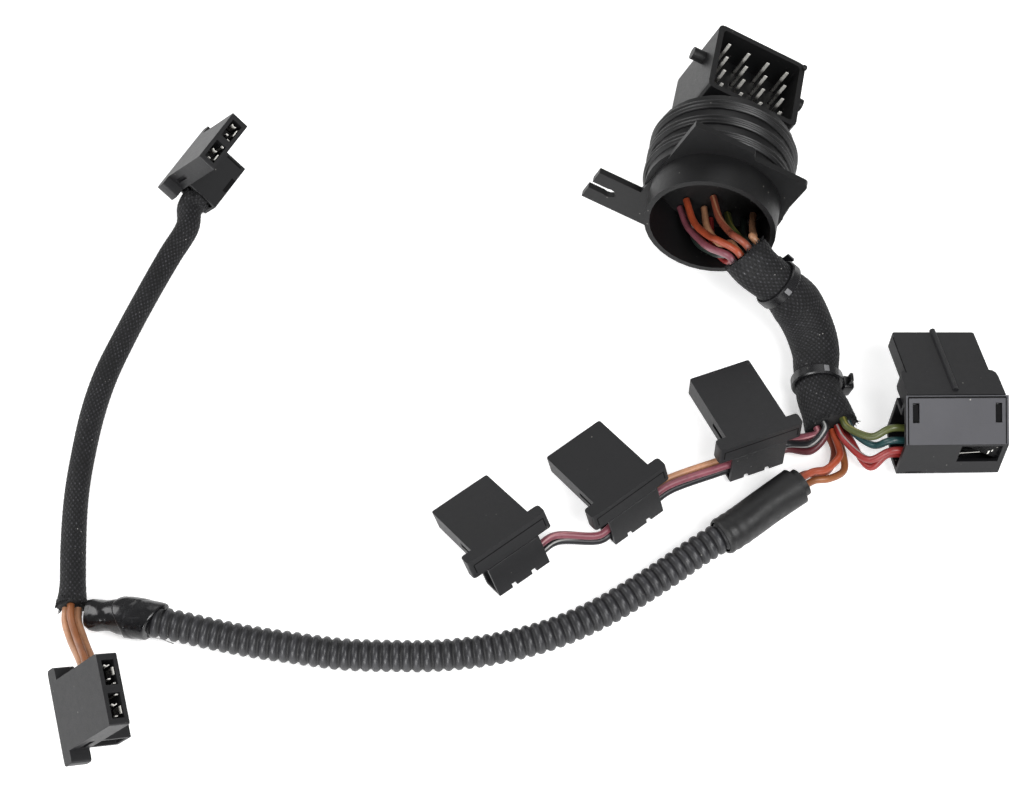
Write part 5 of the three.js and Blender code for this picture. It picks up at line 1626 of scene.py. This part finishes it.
@dataclass
class Bulkhead:
    """The round connector: housing, seals and the block of pins."""

    seals: tuple[float, ...] = (5.6, 12.6, 19.6)
    drum: float = 24.0
    proud: float = 1.3
    groove: float = 2.0
    half_width: float = 1.8
    columns: int = 120
    frosted: float = 3 * MM

    def build(self, palette: Palette) -> None:
        """Builds the connector.

        Args:
            palette: the finishes.
        """
        mesh = softened("bulkhead_housing_moulding", ["bulkhead_housing"], 0.28 * MM)
        show(mesh, palette.housing, ("bulkhead_housing",))
        nib = rounded_block((15.6, 17.4), (56.4, 58.2), (16.9, 18.6), 0.6)
        nib = placed("bulkhead", nib.reshape(-1, 3)).reshape(nib.shape)
        show(skin_mesh("header_nib", [Skin(nib)]), palette.housing)
        for i, middle in enumerate(self.seals):
            self.build_seal(i + 1, middle, palette)
        pins = [f"contact_pin_{i:02d}" for i in range(1, 17)]
        mesh = softened("contact_pin_blades", pins, 0.09 * MM, segments=1)
        height = read(mesh.vertices, "co", 3) @ place_matrix("bulkhead")[:3, 2]
        mark(mesh, RELIEF, "POINT", np.clip((height - height.max() + self.frosted) / (0.4 * MM), 0, 1))
        show(mesh, palette.tin, pins)

    def build_seal(self, number: int, middle: float, palette: Palette) -> None:
        """A sealing ring with two round lips, turned about the connector's axis.

        Args:
            number: of the ring, from the flange.
            middle: its place along the axis, in millimetres.
            palette: the finishes.
        """
        inner = self.drum - self.groove + 0.3
        crown = np.linspace(-1, 1, 25)
        lips = self.drum + self.proud - 0.8 * np.sin(math.pi * np.abs(crown) - math.pi / 2).clip(-1, 1) ** 2
        radius = np.concatenate([[inner], lips, [inner]])
        along = middle + self.half_width * np.concatenate([[-1], crown, [1]])
        turn = around(self.columns)
        grid = np.stack([radius[:, None] * np.cos(turn), along[:, None] * np.ones(self.columns),
                         radius[:, None] * np.sin(turn)], axis=-1)
        skin = Skin(placed("bulkhead", grid.reshape(-1, 3)).reshape(grid.shape), along=True)
        node = f"seal_ring_{number}"
        show(skin_mesh(f"{node}_rubber", [skin]), palette.seal, (node,), crease=None)


@dataclass
class FlatPlug:
    """A flat two-way plug: body with two cavities, and a cover over the wire channel."""

    letter: str
    contacts: bool = False
    front: float = 8.6
    ledge: float = 13.2
    groove: tuple[float, float] = (-1.9, -5.2)
    mouth: float = 28
    blade_depth: float = 4.4
    blades: tuple[tuple[float, float, float, float], ...] = (
        (-7.4, -2.2, -6.9, -3.0), (-6.9, -3.0, -7.3, -3.9), (-6.6, -4.9, -4.3, -4.9), (-3.1, -2.6, -3.1, -3.5),
        (4.4, -2.2, 4.9, -3.0), (4.9, -3.0, 4.5, -3.9), (5.1, -4.9, 7.4, -4.9), (8.1, -2.6, 8.1, -3.5),
        (-1.7, -4.0, -1.7, -4.9), (1.7, -4.0, 1.7, -4.9))

    def build(self, palette: Palette) -> None:
        """Builds body and cover, dark strips of painted shade in the cover's slot and notch and the ledge's groove, and
        the contacts in sight.

        Args:
            palette: the finishes.
        """
        for part in ("body", "cover"):
            node = f"plug_{self.letter}_{part}"
            mesh = softened(f"{node}_moulding", [node], 0.3 * MM if part == "body" else 0.2 * MM)
            show(mesh, palette.plug, (node,))
        place, out, back = f"plug_{self.letter}", (0, 1, 0), (0, -1, 0)
        top, bottom = self.groove
        # Dark strips of painted shade: the cover's slot and notch, and the groove round the ledge.
        gaps = [bar(place, (-8.6, self.front, -11.2), (-8.6, self.front, -17.4), 0.7, out),
                bar(place, (-3.4, self.front, -17.9), (2.8, self.front, -17.9), 1.5, out),
                bar(place, (-self.ledge, 0, top), (self.ledge, 0, top), 0.4, back),
                *(bar(place, (x, 0, top), (x, 0, bottom), 0.4, back) for x in (-self.ledge, self.ledge))]
        show(skin_mesh(f"plug_{self.letter}_painted_shade", gaps), palette.shadow)
        if self.contacts:
            metal = [bar(place, (x0, self.mouth, z0), (x1, self.mouth, z1), self.blade_depth, (z0 - z1, 0, x1 - x0),
                         0.3, (1.0, 0.0)) for x0, z0, x1, z1 in self.blades]
            show(skin_mesh(f"plug_{self.letter}_contacts", metal), palette.tin)


@dataclass
class WidePlug:
    """The wide plug: body, sloped hood with a panel let in and painted paler as a highlight, dark strips of painted
    shade, and the contacts behind its window.
    """

    reach: float = 11.5
    drop: float = 11.3
    seat: float = 0.3
    panel_sides: tuple[float, float] = (-16.6, 16.5)
    latches: tuple[float, float] = (-14, 14)
    spring_front: float = -9.9
    springs: tuple[tuple[float, float, float, float, float, float], ...] = (
        (2, -16.6, 9.2, -16.1, 0.2, 0.0), (12.3, -15.6, 12.1, -17, 0.5, 0.9), (13.4, -15.2, 13.2, -16, 0.35, 0.9))

    def build(self, palette: Palette) -> None:
        """Builds the plug.

        Args:
            palette: the finishes.
        """
        mesh = softened("plug_d_body_moulding", ["plug_d_body"], 0.28 * MM)
        show(mesh, palette.plug, ("plug_d_body",))
        slope = math.atan2(self.drop, self.reach - self.seat)
        out = np.array([0, -math.sin(slope), math.cos(slope)])
        mesh = softened("plug_d_cover_moulding", ["plug_d_cover"], 0.25 * MM)
        # The cover's faces that look out of the slope are marked, and the hood's finish paints them paler as a painted
        # highlight.
        facing = place_matrix("plug_d")[:3, :3] @ out
        mark(mesh, RELIEF, "FACE", read(mesh.polygons, "normal", 3) @ facing > 0.995)
        show(mesh, palette.hood, ("plug_d_cover",))
        # The contact strip takes the darker tin: painted shade.
        mesh = softened("plug_d_contacts", ["plug_d_contact_strip"], 0.1 * MM, segments=1)
        show(mesh, palette.shaded_tin, ("plug_d_contact_strip",))
        left, right = self.panel_sides
        top, bottom = 0.7, math.hypot(self.reach - self.seat, self.drop) - 0.2

        def on_slope(x: float, down: float, under: float = 0.0) -> np.ndarray:
            """A point of the slope, at a distance down it and under its face."""
            return np.array([x, -self.seat - down * math.cos(slope), -down * math.sin(slope)]) - under * out

        # Dark strips of painted shade: the panel's edges, the groove on the deck, a small slot, and dark plates sunk in
        # the latch slots.
        gaps = [bar("plug_d", on_slope(left, top), on_slope(left, bottom), 0.45, out),
                bar("plug_d", on_slope(right, top), on_slope(right, bottom), 0.4, out),
                bar("plug_d", on_slope(left, top), on_slope(right, top), 0.6, out),
                bar("plug_d", (-14.4, 26.8, 0), (-14.4, 10.2, 0), 0.4, (0, 0, 1)),
                bar("plug_d", (-14.3, -self.reach, -23.8), (-9, -self.reach, -23.8), 0.6, (0, -1, 0)),
                *(bar("plug_d", on_slope(x, 3, 0.8), on_slope(x, 8.8, 0.8), 2, out) for x in self.latches)]
        show(skin_mesh("plug_d_painted_shade", gaps), palette.shadow)
        y = self.spring_front
        springs = [bar("plug_d", (x0, y, z0), (x1, y, z1), width, (0, -1, 0), 0.4, (used, used))
                   for x0, z0, x1, z1, width, used in self.springs]
        show(skin_mesh("plug_d_springs", springs), palette.tin)


@dataclass
class Studio:
    """The floor, the soft lights and the camera."""

    look_at: tuple[float, float, float] = (0.0, 0.0, 0.0)
    elevation: float = 58.0
    distance: float = 730.0
    lens: float = 76.99
    lamps: tuple[tuple[str, tuple[float, float, float], float, float], ...] = (
        ("key", (0.42, -0.53, 0.93), 0.5, 9.0), ("left", (-0.85, 0.15, 0.7), 0.7, 7.0),
        ("back", (0.2, 0.8, 0.7), 0.7, 2.0), ("low", (-0.22, -0.95, 0.36), 0.45, 7.0))

    def build(self) -> None:
        """Builds the floor, lights and camera."""
        self.build_floor()
        self.build_world()
        for name, where, size, power in self.lamps:
            self.light(name, where, size, power)
        self.build_camera()

    def target(self) -> Vector:
        """The point that the camera looks at, in the row frame."""
        return Vector((np.array(self.look_at) + ROW_SHIFT) * MM)

    def build_camera(self) -> None:
        """A camera that looks along Y and down by its elevation."""
        data = bpy.data.cameras.new("photo_camera")
        data.lens = self.lens
        data.sensor_width = 36.0
        data.clip_start = 0.01
        camera = bpy.data.objects.new("photo_camera", data)
        tilt = math.radians(self.elevation)
        back = Vector((0.0, -math.cos(tilt), math.sin(tilt))) * self.distance * MM
        camera.location = self.target() + back
        camera.rotation_euler = (math.radians(90 - self.elevation), 0.0, 0.0)
        bpy.context.scene.collection.objects.link(camera)
        bpy.context.scene.camera = camera

    def build_floor(self) -> None:
        """A wide pale floor that is white to the camera and keeps the shadow."""
        mesh = bpy.data.meshes.new("floor")
        reach = 3.0
        corners = [(-reach, -reach, 0.0), (reach, -reach, 0.0), (reach, reach, 0.0), (-reach, reach, 0.0)]
        mesh.from_pydata(corners, [], [(0, 1, 2, 3)])
        floor = bpy.data.objects.new("floor", mesh)
        bpy.context.scene.collection.objects.link(floor)
        paint = Paint("floor")
        paper = paint.noise(paint.where, 900.0, 2.0)
        tone = paint.blend(paint.spread(paper, 0.3, 0.7), linear((236, 236, 236)), linear((241, 241, 241)))
        rays = paint.add("ShaderNodeLightPath").outputs
        glow = paint.math("MULTIPLY_ADD", rays["Is Glossy Ray"], 0.16, 0.24)
        glow = paint.math("MULTIPLY_ADD", rays["Is Camera Ray"], 0.24, glow)
        paint.finish(Base_Color=tone, Roughness=0.9, Specular_IOR_Level=0.1)
        paint.feed(paint.bsdf.inputs["Emission Color"], (1.0, 1.0, 1.0, 1.0))
        paint.feed(paint.bsdf.inputs["Emission Strength"], glow)
        mesh.materials.append(paint.material)
        floor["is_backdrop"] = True

    def build_world(self) -> None:
        """A plain pale world: white to the camera, softer as light."""
        world = bpy.data.worlds.new("studio")
        world.use_nodes = True
        nodes = Nodes(world.node_tree)
        background = world.node_tree.nodes["Background"]
        ray = nodes.add("ShaderNodeLightPath").outputs["Is Camera Ray"]
        nodes.feed(background.inputs["Color"], (1.0, 1.0, 1.0, 1.0))
        nodes.feed(background.inputs["Strength"], nodes.spread(ray, 0.0, 1.0, 0.3, 1.0))
        bpy.context.scene.world = world

    def light(self, name: str, where: tuple[float, float, float], size: float, power: float) -> None:
        """A square soft light aimed at the object.

        Args:
            name: its name.
            where: its place in metres.
            size: its side in metres.
            power: its power in watts.
        """
        data = bpy.data.lights.new(name, "AREA")
        data.shape = "SQUARE"
        data.size = size
        data.energy = power
        lamp = bpy.data.objects.new(name, data)
        lamp.location = where
        lamp.rotation_euler = (self.target() - Vector(where)).to_track_quat("-Z", "Y").to_euler()
        bpy.context.scene.collection.objects.link(lamp)


def main() -> None:
    """Builds the harness and the studio round it."""
    bpy.context.scene.view_settings.view_transform = "Standard"
    palette = Palette()
    Studio().build()
    WireSet(palette).build()
    trunk = Braid("trunk_braid", "trunk_sleeve", TRUNK_ROUTE, TRUNK_GIRTH, TRUNK_END_GIRTH, yarns=30,
                  lay=58 * MM, columns=270, step=0.24 * MM, seed=5)
    path = trunk.build(palette)
    Braid("branch_braid", "branch_sleeve", BRANCH_ROUTE, BRANCH_GIRTH, BRANCH_END_GIRTH, yarns=18, lay=38 * MM,
          columns=126, step=0.26 * MM, seed=9, relief=0.36 * MM, lumps=0.02).build(palette)
    Conduit().build(palette)
    ShrinkSleeve().build(palette)
    TapeWrap().build(palette)
    upper, lower = 15.5 * MM, (path.length / MM - 17.5) * MM
    CableTie.round_sleeve("upper", trunk, path, upper, -35.0, (150.0,)).build(palette)
    CableTie.round_sleeve("lower", trunk, path, lower, 10.0, (91.0, 53.0)).build(palette)
    Bulkhead().build(palette)
    for letter in "abcef":
        FlatPlug(letter, contacts=letter in "ef").build(palette)
    WidePlug().build(palette)


def corners(bounds: object) -> list[list[float]]:
    """A box's two corners as plain lists of numbers."""
    return [[float(value) for value in corner] for corner in bounds]


if __name__ == "__main__":
    logging.basicConfig(level=logging.INFO, format="%(name)s: %(message)s")
    main()
    {"cad": corners(CAD_BOUNDS), "visual": corners(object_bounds())}
